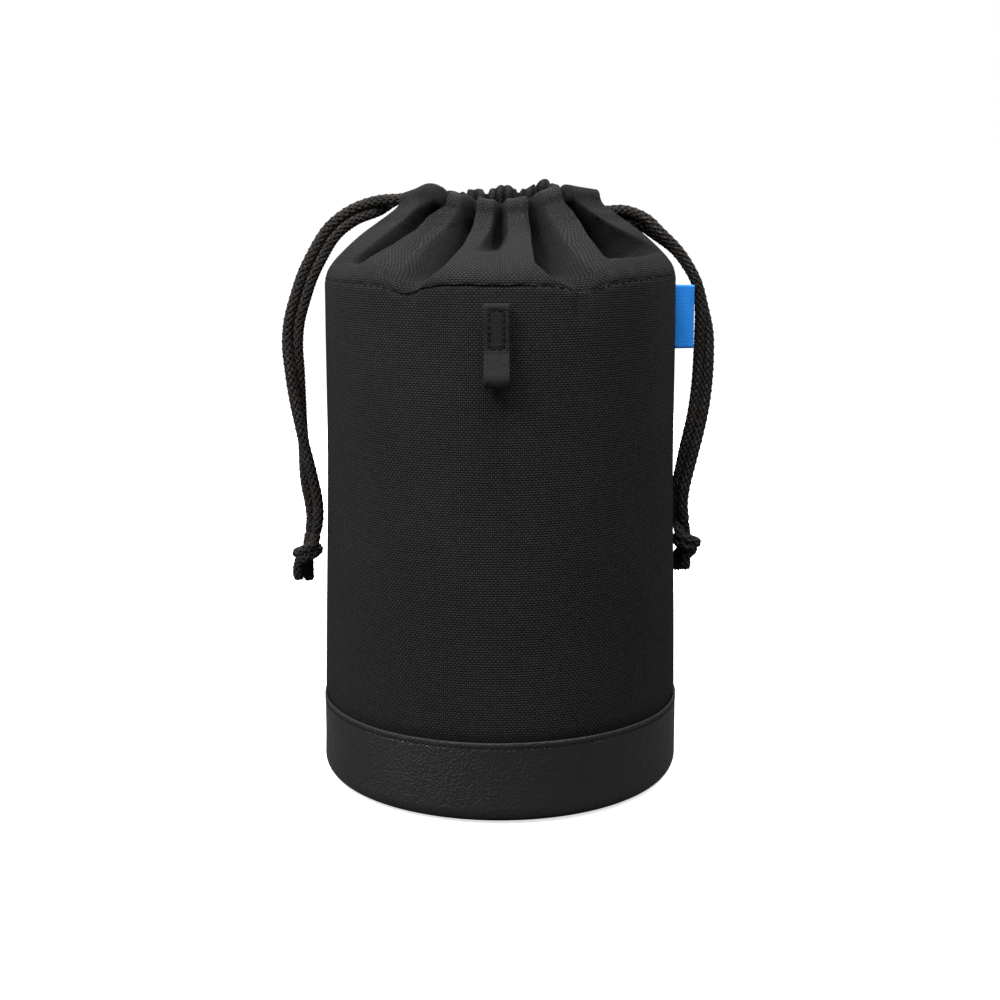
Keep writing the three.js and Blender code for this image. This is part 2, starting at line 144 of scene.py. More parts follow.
# Points across a half of the collar and rows over its rim, down inside and at its hem stitch
COLLAR_COLUMNS = 281
TURN_ROWS = 9
INSIDE_ROWS = 7
HEM_ROW = 37

# Each point of a pull: reach towards the wall, cords off the wall, fall, lean, roll in degrees
LEFT_ROUTE = (
    (0.3, 0, 0.02, 0, 70),
    (0.61, 0, 0.045, 0, 90),
    (0.86, 0, 0.083, 0, 90),
    (1, 0.91, 0.171, 0, 90),
    (1, 1.59, 0.215, 0, 90),
    (1, 2.32, 0.283, 0, 90),
    (1, 2.91, 0.354, 0, 86),
    (1, 3.1, 0.422, 0, 76),
    (1, 2.95, 0.496, 0, 56),
    (1, 2.72, 0.586, 0, 28),
    (1, 2.45, 0.661, 0, 4),
    (1, 2.2, 0.721, 0, -14),
    (1, 1.95, 0.781, 0, -40),
    (1, 1.7, 0.842, 0, -66),
    (1, 1.5, 0.902, 0, -84),
    (1, 1.5, 0.96, 0, -90),
    (1, 1.68, 1, 0, -90),
)
RIGHT_ROUTE = (
    (0.32, 0, 0.012, 0, 60),
    (0.58, 0, 0.034, 0.6, 50),
    (0.8, 0, 0.073, 1.4, 24),
    (1, 0.2, 0.118, 2.2, 6),
    (1, 1.35, 0.17, 3, 0),
    (1, 2.2, 0.226, 3.6, -6),
    (1, 2.65, 0.3, 4, -24),
    (1, 2.9, 0.378, 4, -62),
    (1, 2.9, 0.456, 3.6, -84),
    (1, 2.75, 0.55, 3, -90),
    (1, 2.45, 0.628, 2.2, -92),
    (1, 2.05, 0.692, 1.4, -98),
    (1, 1.6, 0.755, 0.8, -112),
    (1, 1.2, 0.818, 0.4, -132),
    (1, 0.95, 0.881, 0, -152),
    (1, 0.9, 0.944, 0, -165),
    (1, 1.1, 1, 0, -172),
)

# Each fold: deepest place from soft to crisp edge, power of its fall, rows of share, soft, crisp and depth
FRONT_FOLDS = (
    (0.82, 1.3, (
        (0.2, -0.87, -0.79, 0.0), (0.3, -0.845, -0.745, 9.0), (0.43, -0.815, -0.675, 15.0),
        (0.62, -0.785, -0.615, 17.0), (0.78, -0.745, -0.6, 13.0), (0.9, -0.68, -0.555, 7.0),
        (1.0, -0.6, -0.49, 5.0),
    )),
    (0.82, 1.2, (
        (0.0, -0.57, -0.43, 1.0), (0.12, -0.56, -0.365, 3.2), (0.25, -0.545, -0.305, 8.0),
        (0.5, -0.5, -0.247, 13.0), (0.75, -0.43, -0.233, 13.0), (1.0, -0.36, -0.215, 5.0),
    )),
    (0.5, 2.0, (
        (0.4, -0.17, -0.02, 0.0), (0.55, -0.13, 0.04, 5.0), (0.7, -0.085, 0.065, 8.5),
        (1.0, -0.06, 0.07, 5.0),
    )),
    (0.82, 1.0, (
        (0.0, 0.56, 0.38, 1.0), (0.15, 0.52, 0.25, 3.5), (0.3, 0.47, 0.195, 9.0),
        (0.5, 0.44, 0.21, 14.0), (0.7, 0.44, 0.245, 14.0), (1.0, 0.4, 0.26, 5.0),
    )),
    (0.66, 0.9, (
        (0.27, 0.98, 0.6, 0.0), (0.33, 0.97, 0.59, 12.0), (0.42, 0.945, 0.595, 17.0),
        (0.55, 0.89, 0.6, 17.0), (0.7, 0.82, 0.63, 15.0), (0.84, 0.75, 0.63, 9.0), (1.0, 0.66, 0.57, 5.0),
    )),
)
BACK_FOLDS = (
    (0.75, 1.3, (
        (0.22, -0.95, -0.74, 0.0), (0.36, -0.93, -0.68, 8.0), (0.55, -0.9, -0.64, 12.0),
        (1.0, -0.7, -0.55, 5.0),
    )),
    (0.78, 1.2, (
        (0.0, -0.48, -0.34, 1.0), (0.25, -0.45, -0.3, 6.0), (0.55, -0.42, -0.28, 10.0),
        (1.0, -0.4, -0.33, 5.0),
    )),
    (0.5, 2.0, (
        (0.3, -0.16, 0.0, 0.0), (0.5, -0.19, -0.06, 4.0), (0.75, -0.2, -0.08, 6.5),
        (1.0, -0.19, -0.1, 5.0),
    )),
    (0.5, 2.0, (
        (0.4, 0.1, 0.22, 0.0), (0.6, 0.12, 0.24, 4.0), (0.8, 0.14, 0.25, 6.5), (1.0, 0.16, 0.24, 5.0),
    )),
    (0.78, 1.2, (
        (0.0, 0.56, 0.4, 1.0), (0.25, 0.52, 0.36, 6.0), (0.55, 0.48, 0.34, 10.0), (1.0, 0.43, 0.36, 5.0),
    )),
    (0.5, 2.0, (
        (0.55, 0.46, 0.58, 0.0), (0.75, 0.48, 0.57, 4.5), (1.0, 0.49, 0.55, 5.0),
    )),
    (0.75, 1.3, (
        (0.22, 0.95, 0.7, 0.0), (0.36, 0.93, 0.66, 8.0), (0.55, 0.9, 0.64, 12.0), (1.0, 0.72, 0.6, 5.0),
    )),
)

# Height of the shoulder seam and of the rim by place
FRONT_SEAM = (
    (-1, 0.0), (-0.75, 0.0), (-0.62, -0.5), (-0.51, -2.0), (-0.38, -0.2), (0, 0.5), (0.3, 0.0),
    (0.46, -1.4), (0.6, 0.4), (0.85, 1.4), (1, 1.8),
)
BACK_SEAM = (
    (-1, 0.0), (-0.6, 0.2), (-0.4, -0.8), (-0.2, 0.2), (0.3, 0.3), (0.48, -0.7), (0.65, 0.8), (1, 1.8),
)
FRONT_RIM = (
    (-1, 179.2), (-0.85, 180.6), (-0.7, 182.0), (-0.57, 180.6), (-0.45, 178.9), (-0.3, 178.7),
    (-0.13, 177.4), (0.17, 177.8), (0.33, 178.9), (0.48, 180.4), (0.6, 181.6), (0.8, 181.0), (1, 180.2),
)
BACK_RIM = (
    (-1, 179.2), (-0.75, 180.6), (-0.55, 180.0), (-0.42, 179.6), (-0.28, 180.6), (-0.14, 180.2),
    (0.05, 181.8), (0.2, 180.6), (0.32, 181.2), (0.46, 183.6), (0.57, 182.0), (0.7, 181.0), (1, 180.2),
)

# How far the collar has closed in at each share of its height, at the sides and in the middle
SIDE_PROFILE = (
    (0, 0), (0.1, 0.034), (0.224, 0.12), (0.346, 0.237), (0.467, 0.368), (0.59, 0.517), (0.711, 0.688),
    (0.833, 0.86), (0.92, 0.965), (1, 1),
)
FRONT_PROFILE = (
    (0, 0), (0.1, 0.02), (0.224, 0.09), (0.346, 0.22), (0.467, 0.4), (0.59, 0.61), (0.711, 0.8),
    (0.833, 0.93), (0.92, 0.985), (1, 1),
)


def number_property(name, description, default, **kind):
    """A number of any kind."""
    return bpy.props.FloatProperty(name=name, description=description, default=default, **kind)


def length_property(name, description, default):
    """A length, in metres."""
    return number_property(name, description, default, unit="LENGTH", subtype="DISTANCE")


def power_property(name, description, default):
    """The power of a lamp, in watts."""
    return number_property(name, description, default, unit="POWER")


def colour_property(name, description, default):
    """A colour of one finish, as linear red, green and blue."""
    return bpy.props.FloatVectorProperty(
        name=name, description=description, default=default, size=3, min=0, max=1, subtype="COLOR",
    )


class PouchSizes(bpy.types.PropertyGroup):
    """Sizes of the soft pieces."""

    cord: length_property("Cord", "Diameter of a drawcord", 0.0034)
    braid_pitch: length_property("Braid pitch", "Length of one turn of a braided yarn", 0.0135)
    warp: length_property("Warp", "Spacing of the upright threads of the cloth", 0.0006)
    weft: length_property("Weft", "Spacing of the level threads of the cloth", 0.0007)
    grain: length_property("Grain", "Size of a pebble of the leather grain", 0.0007)
    band_stitch: length_property("Band stitch", "Pitch of the topstitching on the foot", 0.00175)
    seam_stitch: length_property("Seam stitch", "Pitch of the stitches at the shoulder and the hem", 0.0026)
    thread: length_property("Thread", "Diameter of the sewing thread", 0.00036)


class PouchColours(bpy.types.PropertyGroup):
    """Colours of the finishes."""

    cloth: colour_property("Cloth", "Woven outer cloth", (0.0185, 0.0185, 0.0185))
    lining: colour_property("Lining", "Smooth cloth inside", (0.016, 0.016, 0.018))
    leather: colour_property("Leather", "Foot band and base", (0.0065, 0.0065, 0.006))
    yarn: colour_property("Yarn", "Braided drawcords", (0.0135, 0.0112, 0.0098))
    thread: colour_property("Thread", "Sewing thread", (0.006, 0.006, 0.0062))
    ribbon: colour_property("Ribbon", "Hanging loop", (0.019, 0.019, 0.019))
    label: colour_property("Label", "Folded side label", (0.012, 0.3, 1.0))
    foam: colour_property("Foam", "Padding", (0.05, 0.05, 0.052))
    board: colour_property("Board", "Stiffener in the base", (0.18, 0.125, 0.075))


class StageSettings(bpy.types.PropertyGroup):
    """Camera, floor and light."""

    lens: number_property("Lens", "Focal length on a 36 mm frame, in mm", 58.28)
    distance: length_property("Distance", "From the pouch's axis to the camera", 0.4976)
    height: length_property("Height", "Height of the camera", 0.17905)
    pitch: number_property(
        "Pitch", "How far the camera looks down", math.radians(7.286), unit="ROTATION", subtype="ANGLE",
    )
    rise: number_property("Rise", "Vertical shift of the frame", -0.1)
    left_power: power_property("Left light", "Power of the lamp in front at the left", 4.5)
    right_power: power_property("Right light", "Power of the lamp in front at the right", 2.0)
    top_power: power_property("Top light", "Power of the lamp overhead", 3.0)
    back_power: power_property("Back lights", "Power of each of the two lamps high behind", 0.8)
    rear_power: power_property("Rear light", "Power of the lamp straight behind", 4.0)
    side_power: power_property("Side light", "Power of the low lamp at the left", 1.0)
    ambient: number_property("Ambient", "Strength of the light all round", 0.1)


class Value:
    """A value that varies over a surface; sums on it add Math nodes."""

    def __init__(self, nodes, socket):
        self.nodes = nodes
        self.socket = socket

    def maths(self, operation, *terms):
        return self.nodes.node("ShaderNodeMath", {"operation": operation}, dict(enumerate(terms)))

    def output(self, name):
        """Another output of the same node."""
        return Value(self.nodes, self.socket.node.outputs[name])

    def __add__(self, other):
        return self.maths("ADD", self, other)

    def __sub__(self, other):
        return self.maths("SUBTRACT", self, other)

    def __rsub__(self, other):
        return self.maths("SUBTRACT", other, self)

    def __mul__(self, other):
        return self.maths("MULTIPLY", self, other)

    def __pow__(self, other):
        return self.maths("POWER", self, other)

    def __gt__(self, other):
        return self.maths("GREATER_THAN", self, other)

    def __abs__(self):
        return self.maths("ABSOLUTE", self)

    __radd__ = __add__
    __rmul__ = __mul__

    def sine(self):
        return self.maths("SINE", self)


class Nodes:
    """A node tree in the making."""

    def __init__(self, tree):
        self.tree = tree

    def join(self, value, socket):
        """Feeds a socket with a value that varies or with a constant."""
        if isinstance(value, Value):
            self.tree.links.new(value.socket, socket)
        else:
            socket.default_value = value

    def node(self, kind, settings=None, inputs=None, output=0):
        """Adds a node, sets it, feeds its sockets and gives one of its outputs."""
        node = self.tree.nodes.new(kind)
        for key, value in (settings or {}).items():
            setattr(node, key, value)
        for key, value in (inputs or {}).items():
            self.join(value, node.inputs[key])
        return Value(self, node.outputs[output])

    def tint(self, share, low, high):
        """A colour between two; the first may itself vary."""
        start = low if isinstance(low, Value) else rgba(low)
        return self.node("ShaderNodeMix", {"data_type": "RGBA"}, {0: share, 6: start, 7: rgba(high)}, 2)


class Finish(Nodes):
    """A material in the making."""

    def __init__(self, name):
        self.material = bpy.data.materials.new(name)
        self.material.use_nodes = True
        super().__init__(self.material.node_tree)
        self.shader = self.tree.nodes["Principled BSDF"]

    def surface(self, inputs):
        """Feeds the shader's own sockets."""
        for key, value in inputs.items():
            self.join(value, self.shader.inputs[key])
        return self.material

    def cloth_place(self):
        """Place on the flat cloth, in metres; its third part holds the painted shade that darkens the cloth
        deep in a fold.
        """
        place = self.node("ShaderNodeAttribute", {"attribute_name": CLOTH}, output="Vector")
        return place, self.node("ShaderNodeSeparateXYZ", inputs={"Vector": place})

    def body_place(self):
        """Place in the pouch's own frame, in metres."""
        return self.node("ShaderNodeTexCoord", output="Object")

    def noise(self, place, size, detail=2.0):
        """Soft blotches of a size, from 0 to 1."""
        inputs = {"Vector": place, "Scale": 1 / size, "Detail": detail}
        return self.node("ShaderNodeTexNoise", inputs=inputs)

    def relief(self, height, depth, strength=1.0):
        """A normal from a height of 0 to 1 over a depth."""
        inputs = {"Strength": strength, "Distance": depth, "Height": height}
        return self.node("ShaderNodeBump", inputs=inputs)


def rgba(colour):
    """A colour with full cover."""
    return (*colour, 1.0)


def shade(colour, scale):
    """A darker or lighter colour."""
    return tuple(scale * channel for channel in colour)


def woven(name, colour, warp_pitch, weft_pitch, depth, roughness, sheen):
    """Plain weave: threads that cross over and under, each a little dome; on the collar the colour also
    carries painted shade deep in the folds.
    """
    finish = Finish(name)
    place, across = finish.cloth_place()
    along = across.output("Y")
    # Painted shade deep in the folds and pleats, from 0 to 1; the collar stores it in metres
    deep = across.output("Z") * (1 / MM)
    warp = (across * (math.pi / warp_pitch)).sine()
    weft = (along * (math.pi / weft_pitch)).sine()
    crossing = warp * weft
    dome = abs(crossing) ** 0.6
    over = crossing > 0.0
    slub = finish.noise(place, 3 * warp_pitch, 3.0)
    cloud = finish.noise(place, 40 * warp_pitch)
    # Lighter on the crown of each thread and darker between threads: painted shade; the over threads, slubs
    # and blotches are the cloth's own tone
    light = 0.75 * dome * (0.3 + over) + 0.5 * slub + 0.25 * cloud - 0.4
    lit = finish.tint(light, shade(colour, 0.4), shade(colour, 2.0))
    return finish.surface({
        # Painted shade: the base colour darkens towards black deep in a fold
        "Base Color": finish.tint(0.85 * deep, lit, (0, 0, 0)),
        "Roughness": roughness - 0.08 * dome,
        "Sheen Weight": sheen,
        "Sheen Roughness": 0.45,
        "Sheen Tint": rgba((0.75, 0.75, 0.78)),
        "Specular IOR Level": 0.1,
        "Normal": finish.relief(dome + 0.25 * slub, depth),
    })


def grained(name, colour, grain):
    """Pebbled leather with soft wear and a matt turned edge."""
    finish = Finish(name)
    place = finish.body_place()
    level = finish.node("ShaderNodeSeparateXYZ", inputs={"Vector": place}, output="Z")
    turned_edge = {"Value": level, "From Min": (BAND_TOP - 0.9) * MM, "From Max": (BAND_TOP - 0.3) * MM}
    edge = finish.node("ShaderNodeMapRange", inputs=turned_edge)
    pebbles = {"Vector": place, "Scale": 1 / grain, "Smoothness": 0.6}
    cells = finish.node("ShaderNodeTexVoronoi", {"feature": "SMOOTH_F1"}, pebbles)
    pores = finish.noise(place, 0.35 * grain, 3.0)
    wear = finish.noise(place, 22 * grain)
    height = 1.0 - cells + 0.35 * pores
    return finish.surface({
        "Base Color": finish.tint(0.6 * height + 0.5 * wear - 0.2, shade(colour, 0.6), shade(colour, 1.5)),
        "Roughness": 0.36 + 0.2 * wear - 0.1 * height + 0.4 * edge,
        "Specular IOR Level": 0.7,
        "Normal": finish.relief(height, 0.00028),
    })


def braided(name, colour):
    """Twisted yarn with fine fibres along it."""
    finish = Finish(name)
    place, around = finish.cloth_place()
    along = around.output("Y")
    plies = ((around * 9000.0 + along * 2600.0).sine() + 1.0) * 0.5
    fibre = finish.noise(place, 0.0004, 3.0)
    tone = finish.noise(place, 0.003)
    # Lighter along the crest of each ply: painted highlight; the fibres and blotches are the yarn's own
    # tone
    light = 0.6 * plies + 0.5 * fibre + 0.7 * tone - 0.45
    return finish.surface({
        "Base Color": finish.tint(light, shade(colour, 0.3), shade(colour, 2.6)),
        "Roughness": 0.75 - 0.15 * plies,
        "Sheen Weight": 0.03,
        "Sheen Roughness": 0.4,
        "Sheen Tint": rgba((0.8, 0.72, 0.66)),
        "Specular IOR Level": 0.25,
        "Normal": finish.relief(plies + fibre, 0.00012, 0.9),
    })


def spun(name, colour):
    """Smooth sewing thread with its twist."""
    finish = Finish(name)
    _, around = finish.cloth_place()
    along = around.output("Y")
    twist = ((around * 5000.0 + along * 7000.0).sine() + 1.0) * 0.5
    return finish.surface({
        "Base Color": finish.tint(twist, shade(colour, 0.6), shade(colour, 1.6)),
        "Roughness": 0.7 - 0.1 * twist,
        "Specular IOR Level": 0.12,
        "Normal": finish.relief(twist, 0.00005),
    })


def satin(name, colour, pitch):
    """Label cloth: fine close ribs with a soft gloss."""
    finish = Finish(name)
    place, across = finish.cloth_place()
    along = across.output("Y")
    ribs = abs((along * (math.pi / pitch)).sine())
    threads = abs((across * (math.pi / (0.6 * pitch)) + (along * (math.pi / pitch)).sine()).sine())
    weave = 0.6 * ribs + 0.4 * threads
    mottle = finish.noise(place, 0.004)
    return finish.surface({
        "Base Color": finish.tint(0.7 * weave + 0.4 * mottle, shade(colour, 0.72), shade(colour, 1.0)),
        "Roughness": 0.55 - 0.12 * weave,
        "Sheen Weight": 0.2,
        "Sheen Roughness": 0.4,
        "Normal": finish.relief(weave, 0.00008, 0.7),
    })


def porous(name, colour, pore):
    """Open foam."""
    finish = Finish(name)
    place = finish.body_place()
    cells = finish.node("ShaderNodeTexVoronoi", None, {"Vector": place, "Scale": 1 / pore})
    return finish.surface({
        "Base Color": finish.tint(cells, shade(colour, 0.6), shade(colour, 1.3)),
        "Roughness": 0.95 - 0.05 * cells,
        "Normal": finish.relief(cells, 0.0004),
    })


def pressed(name, colour):
    """Fibre board with flecks."""
    finish = Finish(name)
    place = finish.body_place()
    fleck = finish.noise(place, 0.0015, 4.0)
    return finish.surface({
        "Base Color": finish.tint(fleck, shade(colour, 0.7), shade(colour, 1.3)),
        "Roughness": 0.85 + 0.1 * fleck,
        "Normal": finish.relief(fleck, 0.0001),
    })


def made(name, maker, *details, **settings):
    """The finish of that name, made on first use."""
    return bpy.data.materials.get(name) or maker(name, *details, **settings)


def cloth_finish(pouch):
    sizes = pouch.sizes
    settings = {"depth": 0.00022, "roughness": 0.85, "sheen": 0.01}
    return made("woven cloth", woven, pouch.colours.cloth, sizes.warp, sizes.weft, **settings)


def lining_finish(pouch):
    settings = {"depth": 0.00006, "roughness": 0.75, "sheen": 0.03}
    return made("lining cloth", woven, pouch.colours.lining, 0.0004, 0.0004, **settings)


def ribbon_finish(pouch):
    settings = {"depth": 0.0001, "roughness": 0.85, "sheen": 0.02}
    return made("woven ribbon", woven, pouch.colours.ribbon, 0.00042, 0.0005, **settings)


def foam_finish(pouch):
    return made("soft foam", porous, pouch.colours.foam, pore=0.0012)


def label_finish(pouch):
    return made("label cloth", satin, pouch.colours.label, pitch=0.00042)


def leather_finish(pouch):
    return made("grained leather", grained, pouch.colours.leather, pouch.sizes.grain)


def yarn_finish(pouch):
    return made("braided yarn", braided, pouch.colours.yarn)


def thread_finish(pouch):
    return made("sewing thread", spun, pouch.colours.thread)


def between(low, high, share):
    """The value at a share of the way from low to high."""
    return low + (high - low) * share


def ease(low, high, x):
    """Smooth step from 0 at low to 1 at high."""
    t = np.clip((x - low) / (high - low), 0, 1)
    return t * t * (3 - 2 * t)


def through(knots, x):
    """A smooth line through pairs of place and value."""
    at, value = np.array(knots, float).T
    slope = np.gradient(value, at)
    x = np.clip(x, at[0], at[-1])
    i = np.clip(np.searchsorted(at, x) - 1, 0, len(at) - 2)
    gap = at[i + 1] - at[i]
    t = (x - at[i]) / gap
    start = (1 + 2 * t) * (1 - t) ** 2 * value[i] + t * (1 - t) ** 2 * gap * slope[i]
    return start + t * t * (3 - 2 * t) * value[i + 1] + t * t * (t - 1) * gap * slope[i + 1]


def unit(vectors):
    """The same ways with a length of one."""
    return vectors / np.maximum(np.linalg.norm(vectors, axis=-1, keepdims=True), 1e-9)


def run_lengths(points):
    """Length run along a line of points."""
    steps = np.linalg.norm(np.diff(points, axis=0), axis=-1)
    return np.concatenate([np.zeros_like(steps[:1]), np.cumsum(steps, axis=0)])


def drawn_through(points, step):
    """A smooth line through points, sampled at even steps."""
    points = np.array(points, float)
    chord = run_lengths(points)
    fine = np.linspace(0, chord[-1], 40 * len(points))
    line = np.stack([through(np.stack([chord, axis], 1), fine) for axis in points.T], 1)
    length = run_lengths(line)
    places = np.linspace(0, length[-1], max(int(length[-1] / step), 2) + 1)
    return np.stack([np.interp(places, length, axis) for axis in line.T], 1)


def full_turn(steps):
    """Angles at even steps all round."""
    return 2 * np.pi * np.arange(steps) / steps


def outward(points, looped):
    """Normals of a grid whose rows go up and whose columns go round to the left hand."""
    if looped:
        across = np.roll(points, -1, 1) - np.roll(points, 1, 1)
    else:
        across = np.gradient(points, axis=1)
    return unit(np.cross(across, np.gradient(points, axis=0)))


class Piece:
    """Collects the points, faces and cloth places of one object, in millimetres."""

    def __init__(self):
        self.points = []
        self.faces = []
        self.cloth = []
        self.count = 0

    def grid(self, points, cloth, loop_rows=False, loop_cols=False, flip=False):
        """Adds a grid of points and returns the number of each."""
        rows, cols = points.shape[:2]
        numbers = self.count + np.arange(rows * cols).reshape(rows, cols)
        self.points.append(points.reshape(-1, 3))
        self.cloth.append(cloth.reshape(-1, 3))
        self.count += rows * cols
        wide = np.concatenate([numbers, numbers[:, :1]], 1) if loop_cols else numbers
        full = np.concatenate([wide, wide[:1]], 0) if loop_rows else wide
        self.quads(full, flip)
        return numbers

    def quads(self, numbers, flip=False):
        """Adds a face between each four neighbours."""
        corner = numbers[:-1, :-1], numbers[:-1, 1:], numbers[1:, 1:], numbers[1:, :-1]
        quad = np.stack(corner, -1).reshape(-1, 4)
        self.faces.extend((quad[:, ::-1] if flip else quad).tolist())

    def sheet(self, points, cloth, thickness, looped=False, flip=False, normals=None):
        """Adds a cloth of real thickness under a grid of points."""
        side = -1 if flip else 1
        if normals is None:
            normals = outward(points, looped)
        under = points - side * thickness * normals
        top = self.grid(points, cloth, loop_cols=looped, flip=flip)
        low = self.grid(under, cloth, loop_cols=looped, flip=not flip)
        for near, far, turned in ((top[0], low[0], True), (top[-1], low[-1], False)):
            edge = np.stack([near, far])
            edge = np.concatenate([edge, edge[:, :1]], 1) if looped else edge
            self.quads(edge, turned != flip)
        if not looped:
            self.quads(np.stack([top[:, 0], low[:, 0]]), flip)
            self.quads(np.stack([top[:, -1], low[:, -1]]), not flip)
        return self

    def tube(self, path, wide, thick, sides, aim=None):
        """Adds a round or flat tube along a path; aim points along its thick way."""
        ahead = unit(np.gradient(path, axis=0))
        if aim is None:
            aim = steady(ahead)
        beside = unit(np.cross(ahead, aim))
        aim = np.cross(beside, ahead)
        turn = full_turn(sides)
        skin = path[:, None] + thick * np.cos(turn)[None, :, None] * aim[:, None]
        skin = skin - wide * np.sin(turn)[None, :, None] * beside[:, None]
        girth = np.pi * (wide + thick)
        place = np.zeros(skin.shape)
        place[..., 0] = girth * np.arange(sides)[None] / sides
        place[..., 1] = run_lengths(path)[:, None]
        numbers = self.grid(skin, place, loop_cols=True)
        self.faces.append(numbers[0, ::-1].tolist())
        self.faces.append(numbers[-1].tolist())

    def build(self, name, finish, slot):
        """Makes the object."""
        mesh = bpy.data.meshes.new(name)
        mesh.from_pydata((np.concatenate(self.points) * MM).tolist(), [], self.faces)
        place = mesh.attributes.new(CLOTH, "FLOAT_VECTOR", "POINT")
        place.data.foreach_set("vector", (np.concatenate(self.cloth) * MM).astype(np.float32).ravel())
        mesh.polygons.foreach_set("use_smooth", [True] * len(mesh.polygons))
        mesh.materials.append(finish)
        mesh.update()
        obj = bpy.data.objects.new(name, mesh)
        bpy.context.collection.objects.link(obj)
        return obj


def steady(ahead):
    """Side directions that turn as little as possible along a path."""
    side = np.cross(ahead[0], (0.31, 0.95, 0.11))
    sides = []
    for way in ahead:
        side = side - way * np.dot(side, way)
        side = side / np.linalg.norm(side)
        sides.append(side)
    return np.array(sides)


def flat_place(across, along):
    """Cloth places from widths and heights."""
    across, along = np.broadcast_arrays(across, along)
    return np.stack([across, along, np.zeros_like(across)], -1)


def round_points(radius, turn, height):
    """Points round the pouch's axis."""
    parts = np.broadcast_arrays(radius * np.cos(turn), radius * np.sin(turn), height)
    return np.stack(parts, -1)


def turned(profile, steps, ripple=None):
    """A piece turned from a closed outline of radius and height, with an optional soft ripple."""
    profile = np.array(profile, float)
    turn = full_turn(steps)
    radius = np.repeat(profile[:, :1], steps, 1)
    height = np.repeat(profile[:, 1:], steps, 1)
    if ripple is not None:
        radius = radius + ripple(turn[None], height)
    cloth = flat_place(SHOULDER_RADIUS * turn[None], run_lengths(profile)[:, None])
    piece = Piece()
    piece.grid(round_points(radius, turn, height), cloth, loop_rows=True, loop_cols=True)
    return piece


def arc(centre, radius, start, end, steps):
    """Points of radius and height on an arc, angles in degrees from straight out."""
    turn = np.radians(np.linspace(start, end, steps))
    return [(centre[0] + radius * math.cos(t), centre[1] + radius * math.sin(t)) for t in turn]


def soft_ripple(turn, height):
    """The slight unevenness of a padded wall."""
    slow = 0.22 * np.sin(3 * turn + 0.9 + height / 60) + 0.14 * np.sin(5 * turn - height / 31)
    return slow + 0.07 * np.sin(11 * turn + height / 17)


def wall_radius(height):
    """Outer radius of the cloth wall; it tucks in behind the leather band."""
    start = BAND_TOP + TUCK
    share = np.clip((height - start) / (SHOULDER_HEIGHT - start), 0, 1)
    straight = BAND_RADIUS - FOOT_STEP + (SHOULDER_RADIUS - BAND_RADIUS + FOOT_STEP) * share
    drawn = straight - WAIST_DEPTH * np.sin(np.pi * share) ** 2
    tucked = ease(BAND_TOP - 1.8, BAND_TOP + 0.9, height)
    return between(WALL_LAP, drawn, tucked)


def mouth_plan(place, side):
    """Centre of the tunnel in plan and the way it faces, by place from -1 left to 1 right."""
    bow = MOUTH_HALF_WIDTH - TIP_SPREAD
    spread = TIP_SPREAD + bow * (1 - place**2)
    centre = np.stack([MOUTH_HALF_LENGTH * place, side * spread, 0 * place], -1)
    slope = -2 * side * bow * place / MOUTH_HALF_LENGTH
    facing = unit(np.stack([-side * slope, side + 0 * place, 0 * place], -1))
    return centre, facing


def fold_field(folds, place, share):
    """Depth of the folds, how far they lean under their crisp edges and the painted shade that darkens the
    cloth deep in them.
    """
    depth = np.zeros(np.broadcast(place, share).shape)
    lean = np.zeros_like(depth)
    painted_shade = np.zeros_like(depth)
    for deepest, power, rows in folds:
        at, *lines = np.array(rows).T
        soft, crisp, deep = (np.interp(share, at, line) for line in lines)
        t = (place - soft) / (crisp - soft)
        begun = np.clip(t / deepest, 0, 1)
        falling = between(begun**power, ease(0, 1, begun), max(power - 1, 0))
        form = falling * (1 - ease(deepest, 1.03, t))
        depth = depth + deep * form
        lean = lean + deep * form * np.sign(crisp - soft) * (2 * deepest - 1)
        # Painted shade: the cloth is darkened more the deeper the fold and the nearer its deepest line
        painted_shade = np.maximum(painted_shade, form**0.55 * np.clip((deep - 1) / 7, 0, 1))
    return depth, lean, painted_shade


class Half(NamedTuple):
    """One half of the collar; side is -1 in front and 1 behind."""

    name: str
    side: int
    folds: tuple
    seam: tuple
    rim: tuple
    pleat_depth: float
    pleat_shade: float


HALVES = (
    Half("front", -1, FRONT_FOLDS, FRONT_SEAM, FRONT_RIM, pleat_depth=0.3, pleat_shade=0.1),
    Half("back", 1, BACK_FOLDS, BACK_SEAM, BACK_RIM, pleat_depth=2.4, pleat_shade=0.9),
)


def rim_pleats(place, share):
    """Small gathers near the rim, from 0 on a crest to 1 in a trough."""
    wander = 0.03 * np.sin(9 * place)
    waves = np.sin(np.pi * (place + wander) / PLEAT_PITCH) ** 4
    return waves * ease(0.8, 1, share) * (1 - ease(0.42, 0.62, abs(place)))


def collar_cone(half, place, share, ridge, spring):
    """The collar without its folds, from the seam to where the rim springs, and the way out from it."""
    centre, facing = mouth_plan(place, half.side)
    round_half = half.side * np.sqrt(np.maximum(1 - place**2, 0))
    low = np.stack([SHOULDER_RADIUS * place, SHOULDER_RADIUS * round_half, 0 * place], -1)
    high = centre + facing * ridge[..., None]
    closed = between(through(FRONT_PROFILE, share), through(SIDE_PROFILE, share), abs(place) ** 3)
    cone = between(low, high, closed[..., None])
    seam_height = SHOULDER_HEIGHT + through(half.seam, place)
    cone[..., 2] = seam_height + (spring - seam_height) * share
    away = unit(between(unit(low), facing, share[..., None]))
    return cone, away


